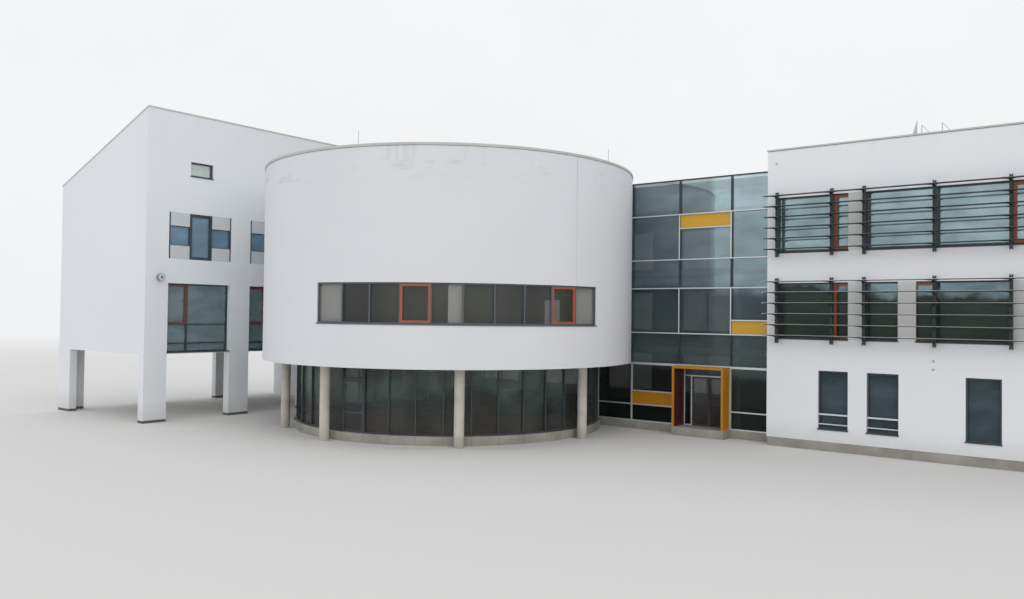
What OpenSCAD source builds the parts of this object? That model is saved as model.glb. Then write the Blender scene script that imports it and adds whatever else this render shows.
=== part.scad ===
// Town hall at half size: a white drum on round columns in front of a glazed hall, with
// a louvred office wing on the right and a long block with a single pitch roof on the left.
// X runs to the right along the street front, Y runs back and Z runs up. Inside the modules
// the front left corner of the office wing is the zero point, and place() centres the model.

/* [Levels] */
// Height of the ground floor above the lowest ground
floor_z = 180; // [150:5:200]
// Floor to floor height
storey_h = 1720; // [1700:5:1740]
// Thickness of the upper floor slabs
slab_t = 130; // [90:5:160]
// Thickness of the outer walls
wall_t = 180; // [150:5:210]
// Thickness of the roof slabs
roof_t = 200; // [160:5:240]
// Height of the wall heads above the roof slabs
upstand = 190; // [150:5:230]
// Thickness of the metal cappings on the wall heads
coping_t = 30; // [15:1:40]
// Overhang of the metal cappings past the wall faces
coping_out = 12; // [5:1:20]

/* [Windows] */
// Width of the window profiles
bar_w = 30; // [24:1:36]
// Depth of the window profiles
bar_d = 40; // [30:1:50]
// Thickness of the glass sheets
glass_t = 12; // [8:1:16]
// Setback of the window profiles from the wall face
reveal = 50; // [40:1:60]
// Thickness of the panels in the windows
panel_t = 25; // [15:1:30]
// Width of the orange casement profiles
casement_w = 42; // [34:1:50]
// Height of a window band above its floor
band_sill = 265; // [240:5:300]
// Height of a window band
band_h = 1105; // [1050:5:1130]

/* [Office wing] */
// Length of the office wing
wing_l = 7740; // [7740:10:8400]
// Depth of the office wing
wing_d = 6000; // [5400:50:6600]
// Height of the office wing over the lowest ground
wing_h = 5980; // [5900:10:6100]
// Wall beside the ends of the window bands
band_margin = 200; // [180:5:230]
// Distance of the first ground floor window from the wing corner
low_win_first = 1025; // [1000:5:1050]
// Distance between the two windows of a pair
low_win_pair = 905; // [880:5:930]
// Distance between two pairs of windows
low_win_pitch = 2570; // [2520:10:2600]
// Width of a ground floor window
low_win_w = 562; // [500:2:600]
// Sill of the ground floor windows above the floor
low_win_sill = 245; // [200:5:300]
// Height of the ground floor windows
low_win_h = 1128; // [1050:2:1160]
// Width of the windows in the free end wall
end_win_w = 1800; // [1500:10:2100]
// Inset of the plinth behind the wall face
plinth_in = 12; // [6:1:20]

/* [Louvres] */
// Distance of the post faces from the wall
post_y = 60; // [50:2:80]
// Depth of a post
post_d = 60; // [50:2:70]
// Width of a post over both flats
post_w = 54; // [50:2:66]
// Thickness of one flat of a post
flat_t = 16; // [12:1:20]
// Length of a post past the window band, up and down
post_over = 95; // [85:5:105]
// Chord of a blade
blade_chord = 130; // [110:5:140]
// Rise of the curved top of a blade
blade_t = 22; // [16:1:26]
// Spacing of the blades
blade_pitch = 214; // [205:1:218]
// Distance of the outer posts from the wing corners
post_inset = 230; // [220:5:250]
// Spacing of the posts over the long windows
post_bay = 1195; // [1180:5:1210]
// Overhang of the blades past the wing corners
blade_over = 25; // [10:5:40]
// Height of a blade arm at the post
arm_h = 42; // [34:2:50]
// Length of the blade clamps from the posts to the left
clamp_l = 115; // [95:5:130]

/* [Glazed hall] */
// Setback of the hall front behind the wing front
hall_y = 365; // [340:5:400]
// Distance of the hall back from the wing front
hall_back = 5000; // [4700:50:5400]
// Height of the hall over the lowest ground
hall_h = 5637; // [5600:1:5660]
// Spacing of the hall mullions
hall_bay = 1210; // [1195:1:1215]
// Distance of the last mullion from the wing
hall_first = 935; // [920:5:950]
// Width of the hall profiles
hall_bar = 24; // [20:1:30]
// Depth of the hall profiles
hall_bar_d = 50; // [40:1:60]
// Depth of the light cover strips on the hall profiles
hall_cap_d = 10; // [8:1:14]
// Diameter of the inner column of the hall
hall_column_d = 150; // [130:5:160]

/* [Entrance] */
// Projection of the portal in front of the hall
portal_out = 340; // [300:5:350]
// Width of the yellow portal edge
portal_edge = 48; // [44:1:54]
// Thickness of the red lining
lining_t = 14; // [10:1:18]
// Distance of the doors behind the hall front
door_set = 135; // [120:5:160]
// Clear height of the entrance doors
door_h = 1085; // [1050:5:1120]
// Width of the fixed light beside the doors
side_light_w = 165; // [150:5:180]
// Width of the jamb on the other side of the doors
jamb_w = 46; // [44:1:50]
// Thickness of the door leaves
leaf_t = 24; // [20:1:28]
// Gap round each door leaf
leaf_gap = 7; // [7:1:9]
// Width of the door leaf profiles
leaf_bar = 34; // [28:1:40]
// Length of the door pull bars
pull_l = 620; // [500:10:700]

/* [Drum] */
// Outer radius of the drum
drum_r = 4250; // [4220:5:4265]
// Distance of the drum centre from the wing corner, along the street
drum_cx = 7000; // [6950:10:7050]
// Distance of the drum centre in front of the wing front
drum_cy = 1805; // [1780:5:1830]
// Height of the drum over the lowest ground
drum_h = 5785; // [5760:5:5820]
// Lower edge of the drum wall over the lowest ground
drum_low = 1525; // [1525:1:1540]
// Height of the soffit above the lower edge of the drum wall
soffit_up = 75; // [60:5:90]
// Radius of the glazed ground floor, at its corners
base_r = 3500; // [3480:5:3515]
// Width of the plinth in front of the glazing corners
base_plinth = 45; // [30:5:60]
// Angle of one ground floor pane
base_step = 9; // [8.5:0.5:9.5]
// Angle of the first joint of the drum door
drum_door_a = -85.8; // [-87:0.1:-84]
// Distance of the column axes outside the glazing corners
column_ring = 235; // [215:5:260]
// Diameter of a column
column_d = 200; // [180:5:220]
// Sill of the drum window over the lowest ground
drum_sill = 2370; // [2340:5:2400]
// Height of the drum window
drum_win_h = 785; // [760:5:800]
// Angle of one pane of the drum window
drum_step = 8.17; // [8.1:0.01:8.2]
// Setback of the drum window from the wall face
drum_reveal = 26; // [20:1:34]
// Clear height of the drum door
drum_door_h = 1050; // [1000:10:1080]

/* [Left block] */
// Distance of the left block from the wing corner
left_x = 11935; // [11900:5:11980]
// Width of the left block
left_w = 4145; // [4050:5:4250]
// Distance of the gable in front of the wing front
left_out = 6670; // [6640:5:6700]
// Height of the left block on the courtyard side
left_high = 7255; // [7200:5:7320]
// Height of the left block on the far side
left_low = 5770; // [5700:5:5840]
// Clear height under the left block
left_under = 1565; // [1545:5:1580]
// Thickness of the piers and of the courtyard wall
pier_t = 215; // [200:5:230]
// Width of a pier along the courtyard
pier_w = 558; // [540:2:570]
// Length of one bay of the left block
left_bay = 2205; // [2190:5:2215]
// Sill of the upper windows over the lowest ground
left_sill2 = 3790; // [3770:5:3820]
// Height of the upper windows
left_win2_h = 1090; // [1060:5:1110]
// Head of the lower windows over the lowest ground
left_head1 = 3215; // [3180:5:3240]
// Width of the tall middle light of the upper windows
left_mid_w = 598; // [570:2:620]
// Height of the light panels in the upper windows
left_panel_h = 315; // [290:5:330]
// Setback of the lower windows from the wall face
left_reveal1 = 110; // [90:5:130]
// Setback of the upper windows from the wall face
left_reveal2 = 12; // [10:1:18]
// Distance of the mullion of the lower windows from their edge
left_mullion = 552; // [540:2:570]
// Sill of the small window over the lowest ground
attic_sill = 5780; // [5740:5:5800]
// Height of the small window
attic_h = 340; // [320:5:360]
// Step from the underside to the sill of the lower windows
left_step = 35; // [30:1:40]
// Level of the floors in the left block below those of the hall
left_floor_down = 90; // [80:5:100]
// Width of the gable pier
gable_pier_w = 578; // [560:2:600]
// Height of the dark sill panel of the lower windows
left_spandrel = 205; // [180:5:230]
// Rail height of the lower windows over the lowest ground
left_rail = 2255; // [2220:5:2290]

/* [Hidden] */

white = "whitesmoke";
dark = [0.22, 0.26, 0.30];
light = [0.80, 0.82, 0.83];
ochre = [0.80, 0.56, 0.12];
red = [0.42, 0.10, 0.12];
orange = [0.72, 0.30, 0.14];
concrete = [0.72, 0.70, 0.66];
pane = [0.45, 0.60, 0.65, 0.5];

floor1 = floor_z + storey_h;
floor2 = floor1 + storey_h;
floor3 = floor2 + storey_h;
band_floors = [floor1, floor2];
skin = 0.5;
seat = 0.3;
cut = 20;

wing_head = wing_h - coping_t;
wing_deck = wing_head - upstand;
low_wins = [for (i = [0 : 4]) low_win_first + floor(i / 2) * low_win_pitch + (i % 2) * low_win_pair];
close_posts = [1302, 1900, 3110];
wide_posts = 4308;
post_xs = concat([post_inset], close_posts,
    [for (i = [0 : 2]) wide_posts + i * post_bay], [wing_l - post_inset]);
band_bars = [[1298, 1645, 1910, 2718, 3106, 4318, 4650, 5513, 6708],
    [1298, 1645, 1910, 3106, 4318, 4650, 5513, 6708]];
white_xs = [[1583, 2475, 4318], [1583]];
white_w = 308;
white_y = 5;
casement_fields = [[0, 3], [0, 4]];
transom_wins = 2;
clamp_right = 50;
clamp_h = 14;
clamp_tip = 4;
clamp_in = 0.25;
clamp_out = 0.75;
blade_first = 52;
blade_count = 6;
bracket_in = 20;
bracket_h = 40;

arc_fn = 256;
drum_in = drum_r - wall_t;
drum_head = drum_h - coping_t;
drum_deck = drum_head - upstand;
soffit = drum_low + soffit_up;
plane_dy = hall_y + drum_cy;
meet_a = asin(plane_dy / drum_r);
meet_x = sqrt(drum_r * drum_r - plane_dy * plane_dy);
pane_count = 10;
seat_a = 0.006;
joint_a = 0.01;
win_a0 = -85.6;
win_a1 = win_a0 + pane_count * drum_step;
win_angles = [for (i = [0 : pane_count]) win_a0 + i * drum_step];
win_casements = [3, 8];
base_meet = asin(plane_dy / base_r);
first_joint = ceil((-180 - base_meet + 1 - drum_door_a) / base_step);
last_joint = floor((base_meet - 1 - drum_door_a) / base_step);
door_pane = 1 - first_joint;
base_angles = concat([-180 - base_meet],
    [for (i = [first_joint : last_joint]) drum_door_a + i * base_step], [base_meet]);
column_angles = [-170, -125, -90, -45, 0, 45, 90, 135];
column_r = base_r + column_ring;
column_top = (column_r + column_d / 2 < drum_in ? soffit : drum_low) - seat;
base_meet_x = sqrt(base_r * base_r - plane_dy * plane_dy);

hall_left = -left_x;
hall_cols = [-hall_first - 2 * hall_bay, -hall_first - hall_bay, -hall_first];
hall_rows = [1511, 2203, 3202, 3840, 4842];
hall_top = hall_h - coping_t / 2;
hall_start = meet_x - drum_cx + skin;
hall_gap_end = -meet_x - drum_cx - skin;
base_right = base_meet_x - drum_cx;
base_left = -base_meet_x - drum_cx;
ground_rail = 562;
ground_head = hall_rows[0] - hall_bar / 2;
yellow_head = 872;
yellow_head1 = 2508;
yellow_sill2 = 4528;
cap_dx = sqrt(drum_r * drum_r - (plane_dy - hall_cap_d) * (plane_dy - hall_cap_d));
hall_column_at = [-858, 530];

portal_x0 = hall_cols[1] + hall_bar / 2;
portal_x1 = hall_cols[2] - hall_bar / 2;
portal_top = ground_head;
portal_front = hall_y - portal_out;
door_y = hall_y + door_set;
in_x0 = portal_x0 + portal_edge;
in_x1 = portal_x1 - portal_edge;
in_top = portal_top - portal_edge;
clear_x0 = in_x0 + lining_t;
clear_x1 = in_x1 - lining_t;
clear_top = in_top - lining_t;
doors_x0 = clear_x0 + side_light_w + hall_bar;
doors_x1 = clear_x1 - jamb_w;
meeting_gap = leaf_gap + 3;
leaf_w = (doors_x1 - doors_x0 - 2 * leaf_gap - meeting_gap) / 2;
door_head = floor_z + door_h;
hinge_out = 6;
knuckle_r = 5.5;
knuckle_l = 34;
plate_l = 11;
pull_d = 12;
pull_out = 26;
pull_foot_d = 8;
pull_up = 60;
drum_pull_l = 180;
drum_pull_z = floor_z + 440;
kick_rail = 400;

west_x = -left_x - left_w;
gable_y = -left_out;
front_in = -left_x - pier_t;
left_slope = (left_high - left_low) / left_w;
first_pier = gable_y + pier_w;
opening_l = left_bay - pier_w;
bay_ys = [for (i = [0 : 2]) first_pier + i * left_bay];
core_y = bay_ys[2] + opening_l;
left_drop = 90;
left_end_bar = 40;
left_mid_bar = 66;
left_panel_in = 2;
slope_over = 100;
rod_angles = [-73.4, 3];
rod_in = 60;
rod_h = 270;
rod_d = 12;
fin_x0 = 2694;
fin_x1 = 2779;
fin_h = 281;
stay_xs = [2848, 3192];
stay_w = 14;
stay_h = 172;
stay_l = 140;
stay_y = 100;
lamp_y = -6330;
lamp_z = 3340;
lamp_out = 90;
lamp_head = 55;
lamp_d = 165;
lamp_neck_d = 90;
lamp_box = 50;

centre_x = (west_x - coping_out + wing_l + blade_over) / 2;
centre_y = (gable_y - coping_out + wing_d + coping_out) / 2;

// Moves the whole model so that its box stands centred on the zero point.
module place() {
    translate([-centre_x, -centre_y, 0]) children();
}

// Box between two opposite corners.
module block(a, b) {
    translate(a) cube(b - a);
}

// Flat rectangle between two opposite corners.
module rect(a, b) {
    translate(a) square(b - a);
}

// Upright plate facing the street: a flat shape in X and Z, from y back to y + t.
module plate_xz(y, t) {
    translate([0, y + t, 0]) rotate([90, 0, 0]) linear_extrude(t) children();
}

// Upright plate facing the courtyard: a flat shape in Y and Z, from x to x + t.
module plate_yz(x, t) {
    translate([x, 0, 0]) rotate([90, 0, 90]) linear_extrude(t) children();
}

// Border of a window, with upright bars at us and level bars at vs.
module window_bars(a, b, us, vs, w) {
    difference() {
        rect(a, b);
        rect([a[0] + w, a[1] + w], [b[0] - w, b[1] - w]);
    }
    for (u = us) rect([u - w / 2, a[1]], [u + w / 2, b[1]]);
    for (v = vs) rect([a[0], v - w / 2], [b[0], v + w / 2]);
}

// Flat outline of a round wall between two angles, as ring minus wedge.
module ring_sector(r0, r1, a0, a1) {
    steps = ceil((a1 - a0) / 30);
    turn = (a1 - a0) / steps;
    far = 2 * r1;
    intersection() {
        difference() {
            circle(r1, $fn = arc_fn);
            circle(r0, $fn = arc_fn);
        }
        polygon(concat([[0, 0]],
            [for (i = [0 : steps]) far * [cos(a0 + i * turn), sin(a0 + i * turn)]]));
    }
}

// Plan of one straight element of a faceted ring, with its corners on radius r and t thick.
module facet_plan(angles, i, r, t, half_step) {
    r_in = r - t / cos(half_step);
    a0 = angles[i] + joint_a;
    a1 = angles[i + 1] - joint_a;
    polygon([r * [cos(a0), sin(a0)], r * [cos(a1), sin(a1)],
        r_in * [cos(a1), sin(a1)], r_in * [cos(a0), sin(a0)]]);
}

// Moves a shape to the axis of the drum.
module at_drum() {
    translate([-drum_cx, -drum_cy, 0]) children();
}

// Moves a shape to the middle of one facet: its outer face lies on X = 0, Y runs along it.
module at_facet(angles, i, r) {
    mid = (angles[i] + angles[i + 1]) / 2;
    half = (angles[i + 1] - angles[i]) / 2;
    at_drum() rotate([0, 0, mid]) translate([r * cos(half), 0, 0]) children();
}

function facet_w(angles, i, r) = 2 * r * sin((angles[i + 1] - angles[i]) / 2);

// Office wing

module wing_plinth() {
    place() color(concrete)
        block([plinth_in, plinth_in, 0], [wing_l - plinth_in, wing_d - plinth_in, floor_z]);
}

module low_window_shape(x) {
    rect([x, floor_z + low_win_sill], [x + low_win_w, floor_z + low_win_sill + low_win_h]);
}

module band_shape(f) {
    rect([band_margin, f + band_sill], [wing_l - band_margin, f + band_sill + band_h]);
}

// Upper wall of the wing with the two window bands.
module wing_face(y) {
    place() color(white) plate_xz(y, wall_t) difference() {
        rect([0, floor1], [wing_l, wing_head]);
        for (f = band_floors) band_shape(f);
    }
}

// Ground floor wall of the wing with its single windows.
module wing_ground(y) {
    place() color(white) plate_xz(y, wall_t) difference() {
        rect([0, floor_z], [wing_l, floor1]);
        for (x = low_wins) low_window_shape(x);
    }
}

module wing_front_wall() {
    wing_face(0);
}

module wing_front_ground() {
    wing_ground(0);
}

module wing_back_wall() {
    wing_face(wing_d - wall_t);
}

module wing_back_ground() {
    wing_ground(wing_d - wall_t);
}

module end_window_shapes() {
    for (f = [floor_z, floor1, floor2])
        rect([(wing_d - end_win_w) / 2, f + band_sill], [(wing_d + end_win_w) / 2, f + band_sill + band_h]);
}

module wing_end_walls() {
    place() color(white) {
        block([0, wall_t, floor_z], [wall_t, wing_d - wall_t, wing_head]);
        plate_yz(wing_l - wall_t, wall_t) difference() {
            rect([wall_t, floor_z], [wing_d - wall_t, wing_head]);
            end_window_shapes();
        }
    }
}

module wing_floors() {
    place() color(concrete) for (f = band_floors)
        block([wall_t, wall_t, f - slab_t], [wing_l - wall_t, wing_d - wall_t, f]);
}

module wing_roof() {
    place() color("gray")
        block([wall_t, wall_t, wing_deck - roof_t], [wing_l - wall_t, wing_d - wall_t, wing_deck]);
}

// Window profiles of one long side; the first ground floor windows have a transom.
module wing_frame_set(y) {
    for (i = [0 : 4]) plate_xz(y, bar_d)
        window_bars([low_wins[i], floor_z + low_win_sill],
            [low_wins[i] + low_win_w, floor_z + low_win_sill + low_win_h], [],
            i < transom_wins ? [floor_z + low_win_sill + low_win_h / 4] : [], bar_w);
    for (k = [0, 1]) plate_xz(y, bar_d)
        window_bars([band_margin, band_floors[k] + band_sill],
            [wing_l - band_margin, band_floors[k] + band_sill + band_h], band_bars[k], [], bar_w);
}

module wing_window_frames() {
    place() color(dark) {
        wing_frame_set(reveal);
        wing_frame_set(wing_d - reveal - bar_d);
        for (f = [floor_z, floor1, floor2]) plate_yz(wing_l - reveal - bar_d, bar_d)
            window_bars([(wing_d - end_win_w) / 2, f + band_sill],
                [(wing_d + end_win_w) / 2, f + band_sill + band_h], [wing_d / 2], [], bar_w);
    }
}

module wing_glass_set(y) {
    plate_xz(y, glass_t) {
        for (x = low_wins) low_window_shape(x);
        for (f = band_floors) band_shape(f);
    }
}

module wing_glass() {
    place() color(pane) {
        wing_glass_set(reveal + bar_d);
        wing_glass_set(wing_d - reveal - bar_d - glass_t);
        plate_yz(wing_l - reveal - bar_d - glass_t, glass_t) end_window_shapes();
    }
}

// Field of a window band between two neighbouring bars.
module band_field(k, i) {
    rect([band_bars[k][i] + bar_w / 2, band_floors[k] + band_sill + bar_w],
        [band_bars[k][i + 1] - bar_w / 2, band_floors[k] + band_sill + band_h - bar_w]);
}

// Solid fields that stand in front of the profiles, nearly flush with the wall.
module wing_panels() {
    place() color(white) plate_xz(white_y, reveal - white_y)
        for (k = [0, 1], x = white_xs[k])
            rect([x, band_floors[k] + band_sill], [x + white_w, band_floors[k] + band_sill + band_h]);
}

// Louvres

// Blade section: flat below, curved on top.
module blade_shape() {
    r = (blade_chord * blade_chord / 4 + blade_t * blade_t) / (2 * blade_t);
    intersection() {
        translate([blade_chord / 2, blade_t - r]) circle(r, $fn = arc_fn);
        square([blade_chord, blade_t]);
    }
}

// Wedge under a blade, from the post outwards.
module arm_shape() {
    polygon([[0, 0], [0, -arm_h], [0.3 * blade_chord, -arm_h / 2], [0.9 * blade_chord, -blade_t / 2],
        [0.9 * blade_chord, 0]]);
}

function strip_low(k) = band_floors[k] + band_sill;
function strip_high(k) = strip_low(k) + band_h;
function blade_z(k, i) = strip_low(k) + blade_first + i * blade_pitch;

// One flat of a post from x to x + flat_t, with its wedges.
module post_flat(k, x) {
    block([x, -post_y - post_d, strip_low(k) - post_over], [x + flat_t, -post_y, strip_high(k) + post_over]);
    for (i = [0 : blade_count - 1]) translate([x, -post_y - post_d, blade_z(k, i)])
        rotate([90, 0, -90]) translate([0, 0, -flat_t]) linear_extrude(flat_t) arm_shape();
}

// Clamp under one blade: a flat spindle along the blade, thickest between the flats.
module blade_clamp(x, z) {
    w = post_w / 2;
    plate_xz(-post_y - post_d - clamp_out * blade_chord, (clamp_out - clamp_in) * blade_chord)
        polygon([[x - w - clamp_l, z], [x - w - clamp_l, z - clamp_tip], [x - w, z - clamp_h],
            [x + w, z - clamp_h], [x + w + clamp_right, z - clamp_tip], [x + w + clamp_right, z]]);
}

module louvre_posts() {
    place() color(dark) for (k = [0, 1], x = post_xs) {
        post_flat(k, x - post_w / 2);
        post_flat(k, x + post_w / 2 - flat_t);
        for (i = [0 : blade_count - 1]) blade_clamp(x, blade_z(k, i));
    }
}

// Blocks between the flats that carry the posts on the wall.
module louvre_brackets() {
    place() color(dark) for (k = [0, 1], x = post_xs, z = [strip_low(k) - post_over + bracket_in,
            strip_high(k) + post_over - bracket_in - bracket_h])
        block([x - post_w / 2 + flat_t, -post_y - post_d, z], [x + post_w / 2 - flat_t, 0, z + bracket_h]);
}

module louvre_blades() {
    place() color(light) for (k = [0, 1], i = [0 : blade_count - 1])
        translate([-blade_over, -post_y - post_d - blade_chord, blade_z(k, i)])
            rotate([90, 0, 90]) linear_extrude(wing_l + 2 * blade_over) blade_shape();
}

// Glazed hall

module hall_plinth() {
    place() color(concrete) {
        block([hall_left, hall_y, 0], [0, hall_back, floor_z]);
        block([portal_x0, portal_front, 0], [portal_x1, hall_y, floor_z]);
    }
}

// Bars of the upper hall front to the right of the drum.
module hall_bars() {
    w = hall_bar;
    for (x = [hall_start + w / 2, hall_cols[1], hall_cols[2], -w / 2])
        rect([x - w / 2, ground_head], [x + w / 2, hall_top]);
    for (z = concat(hall_rows, [hall_top - w / 2]))
        rect([hall_start, z - w / 2], [0, z + w / 2]);
    rect([hall_cols[1], yellow_sill2 - w / 2], [hall_cols[2], yellow_sill2 + w / 2]);
    rect([hall_cols[2], yellow_head1 - w / 2], [0, yellow_head1 + w / 2]);
}

// Bars of the short upper hall front between the drum and the left block.
module hall_bars_left() {
    w = hall_bar;
    for (x = [hall_left + w / 2, hall_gap_end - w / 2])
        rect([x - w / 2, ground_head], [x + w / 2, hall_top]);
    for (z = concat(hall_rows, [hall_top - w / 2]))
        rect([hall_left, z - w / 2], [hall_gap_end, z + w / 2]);
}

module hall_frame() {
    place() color(dark) plate_xz(hall_y, hall_bar_d) {
        hall_bars();
        hall_bars_left();
    }
}

// Light cover strips: along every transom, and up the mullions in the two rows of tall panes.
module hall_caps() {
    w = hall_bar;
    x0 = cap_dx - drum_cx + skin;
    place() color(light) plate_xz(hall_y - hall_cap_d, hall_cap_d) {
        for (z = hall_rows) {
            rect([x0, z - w / 2], [0, z + w / 2]);
            rect([hall_left, z - w / 2], [-cap_dx - drum_cx - skin, z + w / 2]);
        }
        rect([hall_cols[1], yellow_sill2 - w / 2], [hall_cols[2], yellow_sill2 + w / 2]);
        rect([hall_cols[2], yellow_head1 - w / 2], [0, yellow_head1 + w / 2]);
        for (x = [hall_cols[1], hall_cols[2]], i = [1, 3])
            rect([x - w / 2, hall_rows[i]], [x + w / 2, hall_rows[i + 1]]);
    }
}

module hall_ground_frame() {
    w = hall_bar;
    place() color(light) plate_xz(hall_y, hall_bar_d) {
        window_bars([base_right, floor_z], [hall_cols[1] + w / 2, ground_head],
            [hall_start + w / 2], [ground_rail], w);
        rect([hall_start, yellow_head - w / 2], [hall_cols[1], yellow_head + w / 2]);
        window_bars([hall_cols[2] - w / 2, floor_z], [0, ground_head], [], [ground_rail], w);
        window_bars([hall_left, floor_z], [base_left, ground_head], [hall_gap_end - w / 2], [], w);
    }
}

module hall_glass() {
    place() color(pane) plate_xz(hall_y + hall_bar_d, glass_t) {
        rect([hall_start, ground_head], [0, hall_top]);
        rect([base_right, floor_z], [portal_x0 - skin, ground_head - skin]);
        rect([portal_x1 + skin, floor_z], [0, ground_head - skin]);
        rect([hall_left, ground_head], [hall_gap_end, hall_top]);
        rect([hall_left, floor_z], [base_left, ground_head - skin]);
    }
    place() color(pane) plate_xz(hall_back - reveal - bar_d - glass_t, glass_t) back_window_shapes();
    place() color(pane) plate_xz(door_y + (leaf_t - glass_t) / 2, glass_t) screen_lights();
}

module hall_panels() {
    w = hall_bar;
    place() color(ochre) plate_xz(hall_y + hall_bar_d - panel_t, panel_t) {
        rect([hall_cols[1] + w / 2, yellow_sill2 + w / 2], [hall_cols[2] - w / 2, hall_rows[4] - w / 2]);
        rect([hall_cols[2] + w / 2, hall_rows[1] + w / 2], [-w, yellow_head1 - w / 2]);
        rect([hall_start + w, ground_rail + w / 2], [hall_cols[1] - w / 2, yellow_head - w / 2]);
    }
}

// Hall slab outline in plan, cut round the drum.
module hall_plan(y0, y1) {
    difference() {
        rect([hall_left, y0], [0, y1]);
        translate([-drum_cx, -drum_cy]) circle(drum_r + skin, $fn = arc_fn);
    }
}

hall_glass_back = hall_y + hall_bar_d + glass_t;

// Round column behind the glass, one length in each storey.
module hall_column() {
    place() color(concrete) translate(hall_column_at)
        for (level = [[floor_z, floor1 - slab_t], [floor1, floor2 - slab_t], [floor2, floor3]])
            translate([0, 0, level[0]]) cylinder(d = hall_column_d, h = level[1] - level[0], $fn = 64);
}

module hall_floors() {
    place() color(concrete) for (f = band_floors) translate([0, 0, f - slab_t])
        linear_extrude(slab_t) hall_plan(hall_glass_back, hall_back - wall_t);
}

module hall_roof() {
    place() color("gray") translate([0, 0, floor3])
        linear_extrude(roof_t) hall_plan(hall_glass_back, hall_back - wall_t);
}

back_win_w = 1500;
back_bay = 2400;
back_first = 420;
back_wins = [for (i = [0 : 4]) hall_left + back_first + i * back_bay];

module back_window_shapes() {
    for (x = back_wins, f = [floor_z, floor1, floor2])
        rect([x, f + band_sill], [x + back_win_w, f + band_sill + band_h]);
}

module hall_back_wall() {
    place() color(white) plate_xz(hall_back - wall_t, wall_t) difference() {
        rect([hall_left, floor_z], [0, floor3 + roof_t]);
        back_window_shapes();
    }
}

module hall_back_frames() {
    place() color(dark) plate_xz(hall_back - reveal - bar_d, bar_d)
        for (x = back_wins, f = [floor_z, floor1, floor2])
            window_bars([x, f + band_sill], [x + back_win_w, f + band_sill + band_h],
                [x + back_win_w / 2], [], bar_w);
}

// Entrance

// Three sided box round an opening that stands on the floor.
module portal_shape(x0, x1, z0, z1, t) {
    difference() {
        rect([x0, z0], [x1, z1]);
        rect([x0 + t, z0 - cut], [x1 - t, z1 - t]);
    }
}

module portal_frame() {
    place() color(ochre) plate_xz(portal_front, door_y + leaf_t - portal_front)
        portal_shape(portal_x0, portal_x1, floor_z, portal_top, portal_edge);
}

module portal_lining() {
    place() color(red) plate_xz(portal_front + bar_w, door_y + leaf_t - portal_front - bar_w)
        portal_shape(in_x0, in_x1, floor_z, in_top, lining_t);
}

// Fixed panes beside and above the entrance doors.
module screen_lights() {
    rect([clear_x0 + hall_bar, floor_z + hall_bar], [clear_x0 + side_light_w, door_head]);
    rect([clear_x0 + hall_bar, door_head + hall_bar], [clear_x1 - hall_bar, clear_top - hall_bar]);
}

module entrance_screen() {
    place() color(light) {
        plate_xz(door_y, leaf_t) difference() {
            rect([clear_x0, floor_z], [clear_x1, clear_top]);
            rect([doors_x0, floor_z - cut], [doors_x1, door_head]);
            screen_lights();
        }
        translate([doors_x0 + leaf_gap / 2, door_y, 0]) hinge_row(-1, door_h, true);
        translate([doors_x1 - leaf_gap / 2, door_y, 0]) hinge_row(1, door_h, true);
    }
}

// Door leaf frame in its closed place, with the hinge edge at x0.
module leaf_frame(x0) {
    plate_xz(door_y, leaf_t)
        window_bars([x0, floor_z + leaf_gap], [x0 + leaf_w, door_head - leaf_gap], [], [], leaf_bar);
}

// Half of a barrel hinge: its axis lies on X = 0 and Y = -hinge_out, its plate reaches
// along X to one side and seats on the face Y = 0.
module hinge_half(side, z) {
    translate([0, -hinge_out, z]) cylinder(r = knuckle_r, h = knuckle_l, $fn = 48);
    block([side > 0 ? 0 : -plate_l, -hinge_out, z], [side > 0 ? plate_l : 0, 0, z + knuckle_l]);
}

// Hinge halves of a door: the leaf's halves, or the fixed ones that stand under them.
module hinge_row(side, height, fixed) {
    for (z = [height / 8, height * 3 / 4])
        hinge_half(side, floor_z + z - (fixed ? knuckle_l + seat : 0));
}

// Upright pull bar of a length on two stand-offs, from the face Y = 0 outwards.
module pull_bar(l) {
    translate([0, -pull_out, 0]) cylinder(d = pull_d, h = l, $fn = 48);
    for (z = [l / 10, l * 9 / 10])
        translate([0, 0, z]) rotate([90, 0, 0]) cylinder(d = pull_foot_d, h = pull_out, $fn = 48);
}

pull_z = floor_z + (door_h - pull_l) / 2 + pull_up;
leaf_left_x = doors_x0 + leaf_gap;
leaf_right_x = doors_x1 - leaf_gap - leaf_w;

module entrance_leaf_left() {
    place() color(dark) {
        leaf_frame(leaf_left_x);
        translate([doors_x0 + leaf_gap / 2, door_y, 0]) hinge_row(1, door_h, false);
        translate([leaf_left_x + leaf_w - leaf_bar / 2, door_y, pull_z]) pull_bar(pull_l);
    }
}

module entrance_leaf_right() {
    place() color(dark) {
        leaf_frame(leaf_right_x);
        translate([doors_x1 - leaf_gap / 2, door_y, 0]) hinge_row(-1, door_h, false);
        translate([leaf_right_x + leaf_bar / 2, door_y, pull_z]) pull_bar(pull_l);
    }
}

module leaf_pane(x0) {
    plate_xz(door_y + (leaf_t - glass_t) / 2, glass_t)
        rect([x0 + leaf_bar, floor_z + leaf_gap + leaf_bar],
            [x0 + leaf_w - leaf_bar, door_head - leaf_gap - leaf_bar]);
}

module leaf_left_glass() {
    place() color(pane) leaf_pane(leaf_left_x);
}

module leaf_right_glass() {
    place() color(pane) leaf_pane(leaf_right_x);
}

// Drum

// Round wall of the drum between two angles and two levels.
module drum_segment(a0, a1, z0, z1) {
    place() color(white) at_drum() translate([0, 0, z0]) linear_extrude(z1 - z0)
        ring_sector(drum_in, drum_r, a0, a1);
}

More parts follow.
